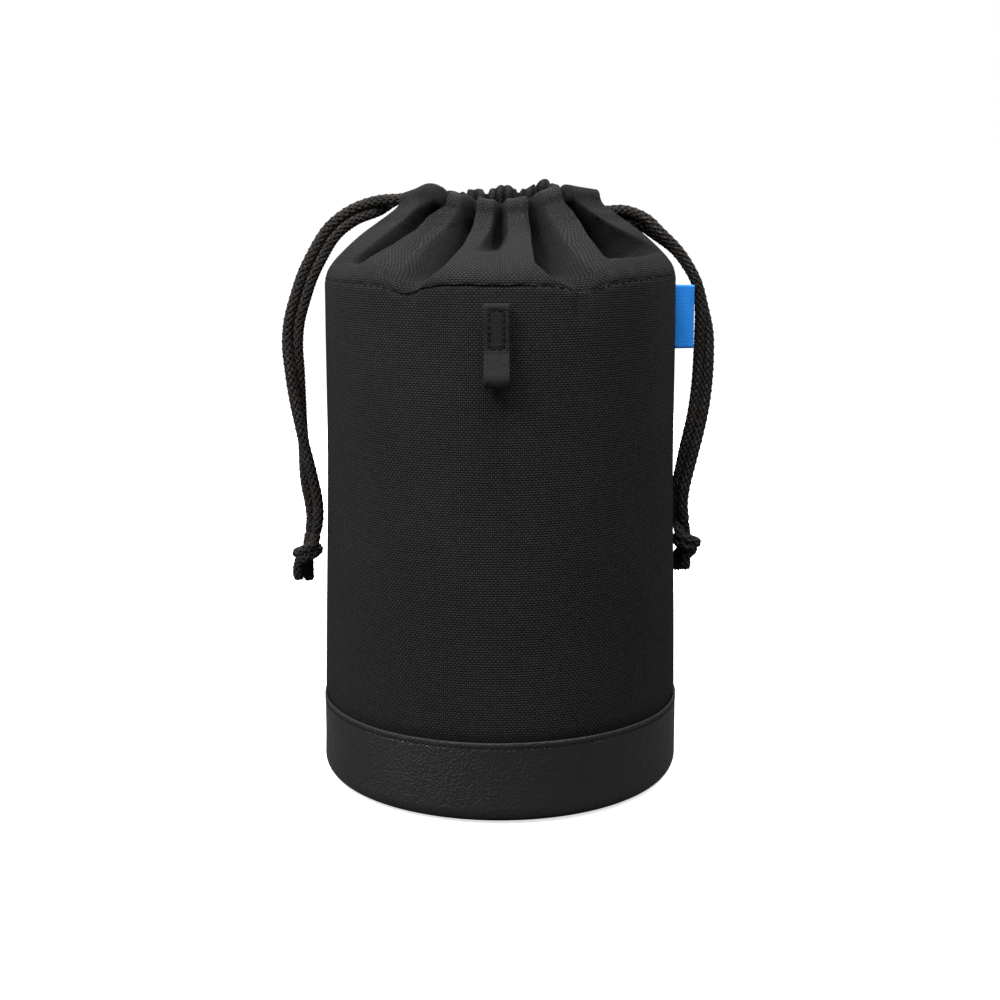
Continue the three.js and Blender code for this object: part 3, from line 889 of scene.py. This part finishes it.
def fold_cone(half, place, share, cone, away, limit, lean):
    """Presses the folds into the collar and leans them under their crisp edges."""
    slope = outward(cone, False) * -half.side
    level = unit(between(slope, np.array((0.0, half.side, 0.35)), 0.8))
    inward = unit(between(level, away, ease(0.6, 1, share)[..., None]))
    tucked = 0.3 * (1 - ease(0, 0.04, share))
    pucker = 0.22 * np.sin(PUCKERS * np.arcsin(place)) * ease(0, 0.02, share) * (1 - ease(0.02, 0.2, share))
    sideways = half.side * np.stack([away[..., 1], -away[..., 0], 0 * away[..., 2]], -1)
    pressed_in = cone - inward * (limit + tucked + pucker)[..., None]
    return pressed_in + sideways * (0.35 * lean * (1 - ease(0.8, 1, share)))[..., None]


def collar_grid(half):
    """Points of half the collar, from the seam over the rim and down inside, and their cloth places."""
    place = np.linspace(-1, 1, COLLAR_COLUMNS)[None]
    share = np.concatenate([np.linspace(0, 0.08, 5)[:-1], np.linspace(0.08, 1, 47)])[:, None]
    centre, facing = mouth_plan(place, half.side)
    depth, lean, painted_shade = fold_field(half.folds, place, share)
    folded = depth[-1:]
    pleats = rim_pleats(place, share)
    depth = depth + pleats * half.pleat_depth
    # Painted shade in the troughs of the rim's pleats, strongest behind
    painted_shade = np.maximum(painted_shade, pleats * half.pleat_shade)

    full = 1 - ease(0.72, 0.97, abs(place))
    ridge = TUNNEL + FULLNESS_OUTSIDE * full
    rim_depth = np.minimum(depth[-1:], ridge - LEAST_COVER)
    top = through(half.rim, place) - 0.2 * rim_depth - 0.15 * np.minimum(folded, ridge - LEAST_COVER)
    out = ridge - rim_depth
    inside = TUNNEL + FULLNESS_INSIDE * full * (1 - rim_depth / 5)
    crown = np.minimum((out + inside) / 2, CROWN)
    spring = top - crown

    cone, away = collar_cone(half, place, share, ridge, spring)
    limit = np.minimum(depth, between(depth, rim_depth, ease(0.75, 1, share)))
    skin = fold_cone(half, place, share, cone, away, limit, lean)

    turns = np.linspace(0, np.pi, TURN_ROWS + 1)[1:, None]
    middle, reach = (out - inside) / 2, (out + inside) / 2
    over = centre + facing * (middle + reach * np.cos(turns))[..., None]
    over[..., 2] = spring + crown * np.sin(turns)

    drop = np.linspace(0, 1, INSIDE_ROWS + 1)[1:, None]
    inner = centre - facing * between(inside, TUNNEL - 0.3, drop)[..., None]
    hem = HEM_HEIGHT + 0.4 - HEM_SINK * (1 - ease(0.5, 0.9, abs(place)))
    inner[..., 2] = between(spring, hem, drop)

    points = np.concatenate([skin, over, inner])
    below_rim = np.repeat(depth[-1:], TURN_ROWS + INSIDE_ROWS, 0)
    flat = collar_cloth(points, place, np.concatenate([depth, below_rim]))
    # The third part of each cloth place carries the painted shade; the rows over the rim and inside keep
    # the rim's
    flat[: len(painted_shade), :, 2] = painted_shade
    flat[len(painted_shade) :, :, 2] = painted_shade[-1:]
    return points, flat


def collar_cloth(points, place, depth):
    """Places on the flat cloth; each row is as long as the seam, and the spare cloth lies in the folds."""
    rows = np.linalg.norm(np.diff(points, axis=1), axis=-1)
    cut = SHOULDER_RADIUS * np.diff(np.arcsin(place))
    loose = (depth[:, 1:] + depth[:, :-1]) ** 2 + 0.02
    spare = np.maximum(cut.sum() - rows.sum(1, keepdims=True), 0)
    widths = rows + spare * loose / loose.sum(1, keepdims=True)
    across = np.concatenate([np.zeros((len(points), 1)), np.cumsum(widths, 1)], 1)
    across = across - across[:, [across.shape[1] // 2]]
    return flat_place(across, run_lengths(points))


def seam_heights(turn):
    """Height of the shoulder seam all round."""
    place = np.cos(turn)
    rise = np.where(np.sin(turn) < 0, through(FRONT_SEAM, place), through(BACK_SEAM, place))
    return SHOULDER_HEIGHT + rise


# Where a quarter of the mouth starts to follow its lip, seen from the rim's middle
LIP_MIDDLE = np.array((0.0, 15.0, 172.0))
LIP_REACH = np.array((15.3, -4.9, 9.85))


def follow_lip(obj, half, hand):
    """Bakes a quarter of the mouth's transform into its mesh; the points where it would bend to its lip are
    worked out but not used.
    """
    end = LIP_MIDDLE * (1, half.side, 1)
    start = end - LIP_REACH * (-hand, half.side, 1)
    tuple(start * MM)
    tuple(end * MM)
    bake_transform(obj)


def quarters(points):
    """The left and right half of a grid, with their hand."""
    middle = points.shape[1] // 2
    return (("left", -1, np.s_[:, : middle + 1]), ("right", 1, np.s_[:, middle:]))


def stitches(piece, line, normals, pitch, thread):
    """Adds single stitches along a line on a surface."""
    length = run_lengths(line)
    count = int(length[-1] / pitch)
    share = np.linspace(0, 1, 7)
    for i in range(count):
        at = length[-1] * (i + 0.5 + 0.41 * (2 * share - 1)) / count
        spot = np.stack([np.interp(at, length, axis) for axis in line.T], 1)
        up = unit(np.stack([np.interp(at, length, axis) for axis in normals.T], 1))
        rise = thread * (0.95 * np.sin(np.pi * share) ** 0.5 - 0.55)
        piece.tube(spot + up * rise[:, None], thread / 2, thread / 2, 6)


def sew(name, finish, line, normals, pitch, thread):
    """Makes one row of stitches."""
    piece = Piece()
    stitches(piece, line, normals, pitch, thread)
    return piece.build(name, finish, "thread")


# How far a strand leads into its tunnel, how far on it follows its pull in full, and its bend to the knot
LEAD_IN, LEAD_ASIDE = 5.0, 1.6
BEND_OUT, BEND_DOWN = 13.0, 3.0
KNOT_LEAD = 22.0

PULLS = (
    ("left", -1, LEFT_ROUTE, LEFT_EXIT_HEIGHT),
    ("right", 1, RIGHT_ROUTE, RIGHT_EXIT_HEIGHT),
)


def strand_points(hand, side, route, exit_height, knot_top, cord):
    """The points of one free strand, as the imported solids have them."""
    apart = 0.47 * cord
    reach, off_wall, fall, lean, roll = np.array(route, float).T
    height = between(exit_height, knot_top, fall)
    wall = wall_radius(np.minimum(height, SHOULDER_HEIGHT))
    x = between(EXIT_X, wall, reach) + cord * off_wall
    centre = np.stack([x, lean, height], 1)
    before = np.concatenate([centre[:1], centre[:-1]])
    after = np.concatenate([centre[1:], centre[-1:]])
    ahead = unit(after - before)
    roll = np.radians(roll)
    centre[:, 0] += side * apart * np.sin(roll) * ahead[:, 2]
    centre[:, 2] -= side * apart * np.sin(roll) * ahead[:, 0]
    centre[:, 1] += side * apart * np.cos(roll)
    start = (EXIT_X, side * TIP_SPREAD, exit_height)
    points = np.concatenate([[start], centre])
    points[:, 0] *= hand
    return points


def braid(piece, path, cord, pitch):
    """Adds a round braid of six yarns each way over a core."""
    ahead = unit(np.gradient(path, axis=0))
    side = steady(ahead)
    beside = np.cross(ahead, side)
    turn = 2 * np.pi * run_lengths(path) / pitch
    yarns = 6
    middle, wave = 0.385 * cord, 0.055 * cord
    wide, thick = 0.15 * cord, 0.095 * cord
    ends = ease(0, 1, np.minimum(turn, turn[-1] - turn) / 0.5)
    for hand in (1, -1):
        radius = middle + hand * wave * np.cos(yarns * turn)
        radius = radius * (0.75 + 0.25 * ends)
        for yarn in range(yarns):
            angle = hand * turn + yarn * 2 * np.pi / yarns
            away = np.cos(angle)[:, None] * side + np.sin(angle)[:, None] * beside
            piece.tube(path + radius[:, None] * away, wide, thick, 6, aim=away)
    piece.tube(path, 0.32 * cord, 0.32 * cord, 8)


def knot_paths(hand, cord):
    """A two-strand knot, drawn in cord widths: one strand wraps and the other runs through."""
    turns = np.linspace(0, 1, 14)
    angle = 4.07 + 2 * np.pi * 1.2 * turns
    rise = 0.42 * (1 - 2 * turns) - 0.34 * np.cos(angle)
    wrap = np.stack([0.92 * hand * np.cos(angle), 0.86 * np.sin(angle), rise], 1)
    front_tail, back_tail = 0.38 * hand - 0.42, -0.36 * hand - 0.35
    lead_in = [(-0.82 * hand, 0.3 * hand, 1.75), (-0.66 * hand, -0.45, 1.1)]
    tail = [(front_tail, -0.6, -1.25), (front_tail - 0.05, -0.5, -1.9), (front_tail, -0.42, -2.5)]
    core = [
        (-0.2 * hand, -0.3 * hand, 1.75), (-0.1 * hand, 0.05, 0.9), (0.0, 0.0, 0.0),
        (back_tail / 2, 0.1, -0.8), (back_tail, 0.25, -1.5), (back_tail, 0.3, -2.1),
        (back_tail + 0.05, 0.3, -2.75),
    ]
    paths = (np.concatenate([lead_in, wrap, tail]), np.array(core))
    return [drawn_through(path * cord, 0.4) for path in paths]


class POUCH_OT_stage(bpy.types.Operator):
    """Sets up the camera, the floor and soft light"""

    bl_idname = "pouch.stage"
    bl_label = "Stage"

    def execute(self, context):
        stage = context.scene.pouch.stage
        camera = bpy.data.objects.new("camera", bpy.data.cameras.new("camera"))
        camera.data.sensor_width = 36
        camera.data.lens = stage.lens
        camera.data.shift_y = stage.rise
        camera.location = (0, -stage.distance, stage.height)
        camera.rotation_euler = (math.pi / 2 - stage.pitch, 0, 0)
        context.collection.objects.link(camera)
        context.scene.camera = camera
        context.scene.view_settings.view_transform = "Standard"

        self.lamp(context, "left light", (-0.36, -0.26, 0.55), 0.3, stage.left_power)
        self.lamp(context, "right light", (0.36, -0.19, 0.55), 0.3, stage.right_power)
        self.lamp(context, "top light", (0.0, -0.15, 0.6), 0.25, stage.top_power)
        self.lamp(context, "right back light", (0.35, 0.35, 0.5), 0.3, stage.back_power)
        self.lamp(context, "left back light", (-0.35, 0.38, 0.5), 0.3, stage.back_power)
        self.lamp(context, "side light", (-0.62, -0.52, 0.03), 0.3, stage.side_power)
        self.lamp(context, "rear light", (0.05, 0.8, 0.3), 0.4, stage.rear_power)
        self.world(context, stage.ambient)
        self.floor(context)
        return {"FINISHED"}

    def lamp(self, context, name, place, size, power):
        light = bpy.data.lights.new(name, "AREA")
        light.shape = "DISK"
        light.size = size
        light.energy = power
        lamp = bpy.data.objects.new(name, light)
        lamp.location = place
        lamp.visible_camera = False
        aim = np.array((0, 0, 0.1)) - np.array(place)
        tilt = math.acos(-aim[2] / np.linalg.norm(aim))
        lamp.rotation_euler = (tilt, 0, math.atan2(-aim[0], aim[1]))
        context.collection.objects.link(lamp)

    def world(self, context, ambient):
        world = context.scene.world or bpy.data.worlds.new("world")
        context.scene.world = world
        world.use_nodes = True
        nodes = Nodes(world.node_tree)
        seen = nodes.node("ShaderNodeLightPath", output="Is Camera Ray")
        colour = nodes.tint(seen, (ambient, ambient, ambient), (1, 1, 1))
        nodes.join(colour, world.node_tree.nodes["Background"].inputs["Color"])

    def floor(self, context):
        span = 4.0
        mesh = bpy.data.meshes.new("floor")
        corner = [(-span, -span, 0), (span, -span, 0), (span, span, 0), (-span, span, 0)]
        mesh.from_pydata(corner, [], [(0, 1, 2, 3)])
        finish = Finish("pale floor")
        seen = finish.node("ShaderNodeLightPath", output="Is Camera Ray")
        place = finish.body_place()
        reach = finish.node("ShaderNodeVectorMath", {"operation": "LENGTH"}, {0: place}, "Value")
        ring = {"Value": reach, "From Min": 0.12, "From Max": 0.6}
        far = finish.node("ShaderNodeMapRange", inputs=ring)
        mesh.materials.append(finish.surface({
            "Base Color": finish.tint(seen, (0.1, 0.1, 0.1), (0.9, 0.9, 0.9)),
            "Roughness": 0.9,
            "Specular IOR Level": 0.1,
            "Emission Color": finish.tint(seen * (0.7 + 0.3 * far), (0, 0, 0), (1, 1, 1)),
            "Emission Strength": 1.0,
        }))
        floor = bpy.data.objects.new("floor", mesh)
        context.collection.objects.link(floor)


class POUCH_OT_drawcords(bpy.types.Operator):
    """Braids the drawcords, their knots and their runs round the mouth"""

    bl_idname = "pouch.drawcords"
    bl_label = "Drawcords"

    def execute(self, context):
        pouch = context.scene.pouch
        cord, pitch = pouch.sizes.cord / MM, pouch.sizes.braid_pitch / MM
        finish = yarn_finish(pouch)
        for name, hand, route, exit_height in PULLS:
            knot = self.knot(name, hand, cord, pitch, finish)
            strand_end = corners(f"{name}_strand_front")[0][2]
            for half in HALVES:
                points = strand_points(hand, half.side, route, exit_height, strand_end, cord)
                tip = points[0]
                inward = tip + (-hand * LEAD_IN, half.side * LEAD_ASIDE, 0)
                path = drawn_through(np.concatenate([[inward], points]), 0.42)
                path = self.into_knot(path, knot[half.name])
                piece = Piece()
                braid(piece, path, cord, pitch)
                strand = piece.build(f"{name}_pull_{half.name}", finish, "cord_yarn")
                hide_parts(f"{name}_strand_{half.name}")
                end = tip + (hand * BEND_OUT, 0, -BEND_DOWN)
                tuple(tip * MM)
                tuple(end * MM)
                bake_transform(strand)
                tuple(tip * MM)
                (path * MM).tolist()
        self.runs(cord, finish)
        return {"FINISHED"}

    def knot(self, name, hand, cord, pitch, finish):
        low, high = corners(f"{name}_knot")
        shift = -0.35 * cord if hand > 0 else 0.0
        centre = np.array([(low[0] + high[0]) / 2 + shift, 0, high[2] - 1.15 * cord])
        piece = Piece()
        paths = [path + centre for path in knot_paths(hand, cord)]
        for path in paths:
            braid(piece, path, cord, pitch)
        obj = piece.build(f"{name}_pull_knot", finish, "cord_yarn")
        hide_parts(f"{name}_knot")
        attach(obj, f"{name}_pull")
        return {"object": obj, "front": paths[0][0], "back": paths[1][0]}

    def into_knot(self, path, start):
        """Leads the last stretch of a strand to the start of its way through the knot."""
        length = run_lengths(path)
        share = ease(length[-1] - KNOT_LEAD, length[-1], length)[:, None]
        return path + share * (start - path[-1])

    def runs(self, cord, finish):
        """The stretches inside the tunnels."""
        for half in HALVES:
            for name, hand, _, height in PULLS:
                for part, way in (("left", -1), ("right", 1)):
                    reach = 0.88 if way == hand else 0.93
                    place = np.linspace(0, way * reach, 60)
                    path = mouth_plan(place, half.side)[0]
                    path[:, 2] = height - CORD_SINK * (1 - ease(0.5, 0.9, abs(place)))
                    piece = Piece()
                    piece.tube(drawn_through(path[::6], 0.5), cord / 2, cord / 2, 12)
                    run = piece.build(f"{name}_run_{half.name}_{part}", finish, "cord_yarn")
                    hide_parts(f"{name}_run_{half.name}")
                    follow_lip(run, half, way)


class POUCH_OT_foot(bpy.types.Operator):
    """Makes the leather band, the base and the pad inside it"""

    bl_idname = "pouch.foot"
    bl_label = "Leather foot"

    def execute(self, context):
        pouch = context.scene.pouch
        leather = leather_finish(pouch)
        self.band(leather)
        self.base(leather)
        self.pad(foam_finish(pouch))
        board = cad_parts["base_board"]
        board.data.materials.clear()
        board.data.materials.append(made("fibre board", pressed, pouch.colours.board))
        return {"FINISHED"}

    def band(self, leather):
        outer = BAND_FACE
        edge = 5.0
        under = DISC_RADIUS + GAP
        lower = arc((outer - edge, edge), edge, -90, 0, 14)
        side = [(outer, z) for z in np.linspace(edge + 1, BAND_TOP - 4.2, 14)]
        turned_edge = [
            (outer + 0.01, BAND_TOP - 3.4), (outer + 0.05, BAND_TOP - 2.6), (outer + 0.06, BAND_TOP - 2.0),
            (outer - 0.14, BAND_TOP - 1.6), (outer + 0.05, BAND_TOP - 1.2), (outer + 0.1, BAND_TOP - 0.7),
        ]
        fold = arc((outer - 0.25, BAND_TOP - 0.35), 0.35, 5, 172, 8)
        inner = [(outer - LEATHER, z) for z in np.linspace(BAND_TOP - 2.4, edge + 1, 8)]
        inside = arc((outer - edge, edge), edge - LEATHER, 0, -90, 8)
        outside = [(under + 0.25, 0), *lower, *side, *turned_edge, *fold]
        profile = [*outside, *inner, *inside, (under, LEATHER), (under, 0.25)]
        band = turned(profile, 240, self.ripple).build("leather_band", leather, "synthetic_leather")
        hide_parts("base_band")
        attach(band, "pouch")

    def ripple(self, turn, height):
        """Half of the wall's unevenness, fading out towards the floor."""
        return 0.5 * soft_ripple(turn, height) * ease(3, 12, height)

    def base(self, leather):
        rim = DISC_RADIUS - 0.05
        outline = [
            (0.01, LEATHER), (rim - 0.4, LEATHER), (rim, LEATHER - 0.3), (rim, 0.4), (rim - 0.25, 0.1),
            (rim - 0.8, 0.02), (rim - 2.0, 0.02), (rim - 2.6, 0.3), (rim - 3.2, 0.02), (rim - 12, 0.05),
            (0.01, 0.3),
        ]
        base = turned(outline[::-1], 160).build("leather_base", leather, "synthetic_leather")
        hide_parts("base_disc")
        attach(base, "pouch")

    def pad(self, foam):
        middle = (PAD_BOTTOM + PAD_TOP) / 2
        half = (PAD_TOP - PAD_BOTTOM) / 2
        bulge = arc((PAD_RADIUS - half, middle), half, -90, 90, 10)
        outline = [(0.01, PAD_BOTTOM + 0.2), *bulge, (0.01, PAD_TOP - 0.2)]
        pad = turned(outline, 120).build("base_padding", foam, "foam")
        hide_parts("base_pad")
        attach(pad, "pouch")


class POUCH_OT_wall(bpy.types.Operator):
    """Makes the woven wall, its padding and the lining"""

    bl_idname = "pouch.wall"
    bl_label = "Padded wall"

    def execute(self, context):
        pouch = context.scene.pouch
        self.panel(cloth_finish(pouch))
        self.padding(foam_finish(pouch))
        self.lining(lining_finish(pouch))
        return {"FINISHED"}

    def panel(self, cloth):
        turn = full_turn(320)[None]
        rise = np.concatenate([np.linspace(0, 0.955, 56), np.linspace(0.965, 1, 7)])[:, None]
        height = between(WALL_BOTTOM, seam_heights(turn), rise)
        uneven = soft_ripple(turn, height) * ease(BAND_TOP + 2, BAND_TOP + 30, height)
        below = seam_heights(turn) - height
        place = np.cos(turn)
        at_seam = np.zeros((1, 1))
        dents = [fold_field(half.folds, place, at_seam)[0] for half in HALVES]
        dent = np.where(np.sin(turn) < 0, *dents)
        folded = dent * np.exp(-below / 5)
        tucked = 0.3 * (1 - ease(0, 1.2, below))
        pucker = 0.16 * np.sin(PUCKERS * turn) * np.exp(-below / 3.5) * ease(0.2, 1.2, below)
        side_seam = 0.45 * np.exp(-((turn - 0.012) / 0.008) ** 2)
        radius = wall_radius(height) + uneven - folded - tucked + pucker - side_seam
        points = round_points(radius, turn, height)
        piece = Piece().sheet(points, flat_place(SHOULDER_RADIUS * turn, height), FABRIC, looped=True)
        panel = piece.build("cloth_wall", cloth, "woven_fabric")
        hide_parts("outer_panel")
        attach(panel, "pouch")

    def padding(self, foam):
        low, high = corners("padding")
        inset = FABRIC + GAP
        levels = np.linspace(low[2] + 1.2, high[2] - 1.8, 12)
        outer = [(wall_radius(z) - inset - 0.35, z) for z in levels]
        inner = [(wall_radius(z) - inset - FOAM + 0.1, z) for z in levels[::-1]]
        top = [(outer[-1][0] - 0.5, high[2] - 0.7), (inner[0][0] + 0.5, high[2] - 0.7)]
        bottom = [(inner[-1][0] + 0.6, low[2]), (outer[0][0] - 0.6, low[2])]
        outline = [*outer, *top, *inner, *bottom]
        padding = turned(outline, 120).build("wall_padding", foam, "foam")
        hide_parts("padding")
        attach(padding, "pouch")

    def lining(self, cloth):
        inset = FABRIC + 2 * GAP + FOAM
        low, high = corners("lining")
        turn = full_turn(160)[None]
        height = np.linspace(low[2], high[2] - 0.6, 40)[:, None]
        radius = wall_radius(height) - inset + 0.12 * np.sin(9 * turn + height / 14) - 0.12
        points = round_points(radius, turn, height)
        piece = Piece().sheet(points, flat_place(SHOULDER_RADIUS * turn, height), LINING, looped=True)
        lining = piece.build("lining_wall", cloth, "lining_cloth")
        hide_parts("lining")
        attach(lining, "pouch")

        rings = np.linspace(0.02, 1, 24)[:, None]
        radius = (FLOOR_RADIUS - 0.1) * rings
        wave = 0.25 * np.cos(3 * turn + 0.6) * rings * (1 - rings)
        dish = FLOOR_TOP - 0.02 - wave - 0.2 * (1 - rings)
        points = round_points(radius, turn, dish)[::-1]
        piece = Piece().sheet(points, points * (1, 1, 0), LINING - 0.25, looped=True)
        floor = piece.build("lining_base", cloth, "lining_cloth")
        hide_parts("lining_floor")
        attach(floor, "pouch")


class POUCH_OT_mouth(bpy.types.Operator):
    """Gathers the collar in folds round the mouth"""

    bl_idname = "pouch.mouth"
    bl_label = "Gathered mouth"

    def execute(self, context):
        cloth = cloth_finish(context.scene.pouch)
        for half in HALVES:
            points, place = collar_grid(half)
            normals = outward(points, False)
            for part, hand, span in quarters(points):
                how = {"flip": half.side > 0, "normals": normals[span]}
                piece = Piece().sheet(points[span], place[span], COLLAR_CLOTH, **how)
                collar = piece.build(f"collar_{half.name}_{part}", cloth, "woven_fabric")
                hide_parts(f"{half.name}_collar", f"{half.name}_casing")
                follow_lip(collar, half, hand)
        return {"FINISHED"}


class POUCH_OT_stitching(bpy.types.Operator):
    """Sews the foot, the shoulder and the hem"""

    bl_idname = "pouch.stitching"
    bl_label = "Stitching"

    def execute(self, context):
        pouch = context.scene.pouch
        sizes = pouch.sizes
        finish = thread_finish(pouch)
        thread = sizes.thread / MM
        self.band(finish, sizes.band_stitch / MM, thread)
        self.shoulder(finish, sizes.seam_stitch / MM, thread)
        self.hem(finish, sizes.seam_stitch / MM, thread)
        return {"FINISHED"}

    def ring(self, turn, radius, height):
        """A line round the pouch and its normals."""
        return round_points(radius, turn, height), round_points(1.0, turn, 0.0)

    def band(self, finish, pitch, thread):
        height = middle_height("band_stitch")
        turn = np.linspace(0, 2 * np.pi, 721)
        radius = BAND_RADIUS - 0.44 + 0.5 * soft_ripple(turn, height)
        sewn = sew("band_topstitch", finish, *self.ring(turn, radius, height), pitch, thread)
        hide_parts("band_stitch")
        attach(sewn, "pouch")

    def shoulder(self, finish, pitch, thread):
        turn = np.linspace(0, 2 * np.pi, 721)
        height = seam_heights(turn)
        radius = SHOULDER_RADIUS - 0.35 + soft_ripple(turn, height)
        sewn = sew("shoulder_seam", finish, *self.ring(turn, radius, height), pitch, thread)
        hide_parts("shoulder_stitch")
        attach(sewn, "pouch")

    def hem(self, finish, pitch, thread):
        for half in HALVES:
            points, _ = collar_grid(half)
            for part, hand, span in quarters(points):
                sheet = points[span]
                normals = outward(sheet, False)[HEM_ROW] * -half.side
                line = sheet[HEM_ROW] - 0.18 * normals
                sewn = sew(f"hem_seam_{half.name}_{part}", finish, line, normals, pitch, thread)
                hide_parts(f"{half.name}_hem_stitch")
                follow_lip(sewn, half, hand)


class POUCH_OT_ribbon_loop(bpy.types.Operator):
    """Folds the ribbon into its tab and hanging loop and sews the tab"""

    bl_idname = "pouch.ribbon_loop"
    bl_label = "Ribbon loop"

    def execute(self, context):
        pouch = context.scene.pouch
        low, high = corners("loop_tab")
        half_width = (high[0] - low[0]) / 2
        line = drawn_through([(0, y, z) for y, z in self.route()], 0.3)
        length = run_lengths(line)
        normals = unit(np.cross(unit(np.gradient(line, axis=0)), (-1.0, 0, 0)))
        across = np.linspace(-half_width, half_width, 25)
        points = line[:, None] + across[None, :, None] * np.array((1.0, 0, 0))
        edge = ease(half_width - 0.5, half_width, abs(across))[None]
        sewn = self.sewn_share(*np.moveaxis(points, -1, 0))
        points = points + normals[:, None] * (-0.14 * edge - 0.22 * sewn)[..., None]
        points[..., 0] += TAB_SHIFT
        face = points + normals[:, None] * RIBBON / 2
        piece = Piece().sheet(face, flat_place(across[None], length[:, None]), RIBBON)
        strip = piece.build("ribbon_strip", ribbon_finish(pouch), "ribbon")
        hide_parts("loop_tab", "hang_loop")
        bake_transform(strip)
        self.box_stitch(pouch)
        return {"FINISHED"}

    def route(self):
        """Depths and heights of the ribbon: down behind, round the loop and up in front."""
        back, front = TAB_BACK - RIBBON / 2 - 0.1, TAB_FRONT + RIBBON / 2
        bulge = LOOP_FRONT + RIBBON / 2 + 0.6
        return [
            (back, TAB_TOP - 0.5), (back, (TAB_TOP + TAB_BOTTOM) / 2), (back, TAB_BOTTOM),
            (back - 0.1, LOOP_BOTTOM + 5.5), (back - 0.4, LOOP_BOTTOM + 2.2),
            (back - 1.3, LOOP_BOTTOM + 0.75), ((back + bulge) / 2, LOOP_BOTTOM + 0.45),
            (bulge + 0.5, LOOP_BOTTOM + 0.85), (bulge, LOOP_BOTTOM + 2.1),
            ((bulge + front) / 2 - 0.15, (LOOP_BOTTOM + TAB_BOTTOM) / 2 + 1.2),
            (front - 0.1, TAB_BOTTOM - 0.2), (front, TAB_BOTTOM + 1.2), (front, TAB_TOP - 2.0),
            (front + 0.1, TAB_TOP - 0.7), (front + 0.45, TAB_TOP - 0.1),
        ]

    def sewn_share(self, x, y, z):
        """Where the stitched box pulls the tab's front layer in."""
        near_sides = np.exp(-((abs(x) - BOX_HALF) / 0.35) ** 2) * (z > BOX_BOTTOM) * (z < BOX_TOP)
        near_top, near_bottom = (np.exp(-((z - end) / 0.35) ** 2) for end in (BOX_TOP, BOX_BOTTOM))
        near_ends = (near_top + near_bottom) * (abs(x) < BOX_HALF)
        return np.minimum(near_sides + near_ends, 1) * (y < TAB_MIDDLE)

    def box_stitch(self, pouch):
        thread = pouch.sizes.thread / MM
        piece = Piece()
        ways = ((-1, BOX_BOTTOM), (-1, BOX_TOP), (1, BOX_TOP), (1, BOX_BOTTOM), (-1, BOX_BOTTOM))
        corner = [(BOX_HALF * way, z) for way, z in ways]
        for (x0, z0), (x1, z1) in zip(corner, corner[1:]):
            x, z = np.linspace(x0, x1, 40) + TAB_SHIFT, np.linspace(z0, z1, 40)
            line = np.stack([x, np.full(40, TAB_FRONT + 0.14), z], 1)
            stitches(piece, line, np.tile((0, -1.0, 0), (40, 1)), 1.6, thread)
        sewn = piece.build("tab_stitch", thread_finish(pouch), "thread")
        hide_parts("loop_stitch")
        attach(sewn, "pouch")


class POUCH_OT_side_label(bpy.types.Operator):
    """Folds the plain label into the side seam"""

    bl_idname = "pouch.side_label"
    bl_label = "Side label"

    def execute(self, context):
        pouch = context.scene.pouch
        root, tip = LABEL_LOW[0] - 0.9, LABEL_HIGH[0] + 0.1
        half = 0.34
        leaf = 0.3
        height = np.linspace(LABEL_LOW[2], LABEL_HIGH[2], 30)[:, None]
        fold = np.linspace(-np.pi / 2, np.pi / 2, 9)
        front = np.linspace(root, tip - half, 16)
        x = np.concatenate([front, tip - half + half * np.cos(fold[1:-1]), front[::-1]])[None]
        y = np.concatenate([np.full(16, -half), half * np.sin(fold[1:-1]), np.full(16, half)])[None]
        out = (x - root) / (tip - root)
        curl = 0.55 * out**2 * np.cos((height - height.mean()) / 9.5) - 0.25 * out
        slack = np.sin(np.pi * np.clip(out, 0, 1))
        gap = 0.22 * np.sign(y) * slack * (0.6 + 0.4 * np.sin(height / 3.1))
        points = np.stack([x + 0 * height, y + gap + curl, height + 0.12 * out * np.sin(height / 5)], -1)
        length = run_lengths(np.stack([x[0], y[0]], 1))[None]
        piece = Piece().sheet(points, flat_place(length, height), leaf)
        label = piece.build("plain_label", label_finish(pouch), "label_cloth")
        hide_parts("side_label")
        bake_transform(label)
        return {"FINISHED"}


PIECES = (
    POUCH_OT_stage,
    POUCH_OT_drawcords,
    POUCH_OT_foot,
    POUCH_OT_wall,
    POUCH_OT_mouth,
    POUCH_OT_stitching,
    POUCH_OT_ribbon_loop,
    POUCH_OT_side_label,
)


class PouchSettings(bpy.types.PropertyGroup):
    """All settings of the pouch."""

    sizes: bpy.props.PointerProperty(type=PouchSizes)
    colours: bpy.props.PointerProperty(type=PouchColours)
    stage: bpy.props.PointerProperty(type=StageSettings)


class POUCH_PT_pieces(bpy.types.Panel):
    """Lists the pieces of the pouch"""

    bl_label = "Lens Pouch"
    bl_space_type = "VIEW_3D"
    bl_region_type = "UI"
    bl_category = "Pouch"

    def draw(self, context):
        for operator in PIECES:
            self.layout.operator(operator.bl_idname)


CLASSES = (PouchSizes, PouchColours, StageSettings, PouchSettings, *PIECES, POUCH_PT_pieces)


def register():
    for item in CLASSES:
        bpy.utils.register_class(item)
    bpy.types.Scene.pouch = bpy.props.PointerProperty(type=PouchSettings)


def unregister():
    del bpy.types.Scene.pouch
    for item in reversed(CLASSES):
        bpy.utils.unregister_class(item)


def main():
    register()
    bpy.ops.pouch.stage()
    bpy.ops.pouch.drawcords()
    bpy.ops.pouch.foot()
    bpy.ops.pouch.wall()
    bpy.ops.pouch.mouth()
    bpy.ops.pouch.stitching()
    bpy.ops.pouch.ribbon_loop()
    bpy.ops.pouch.side_label()


if __name__ == "__main__":
    main()
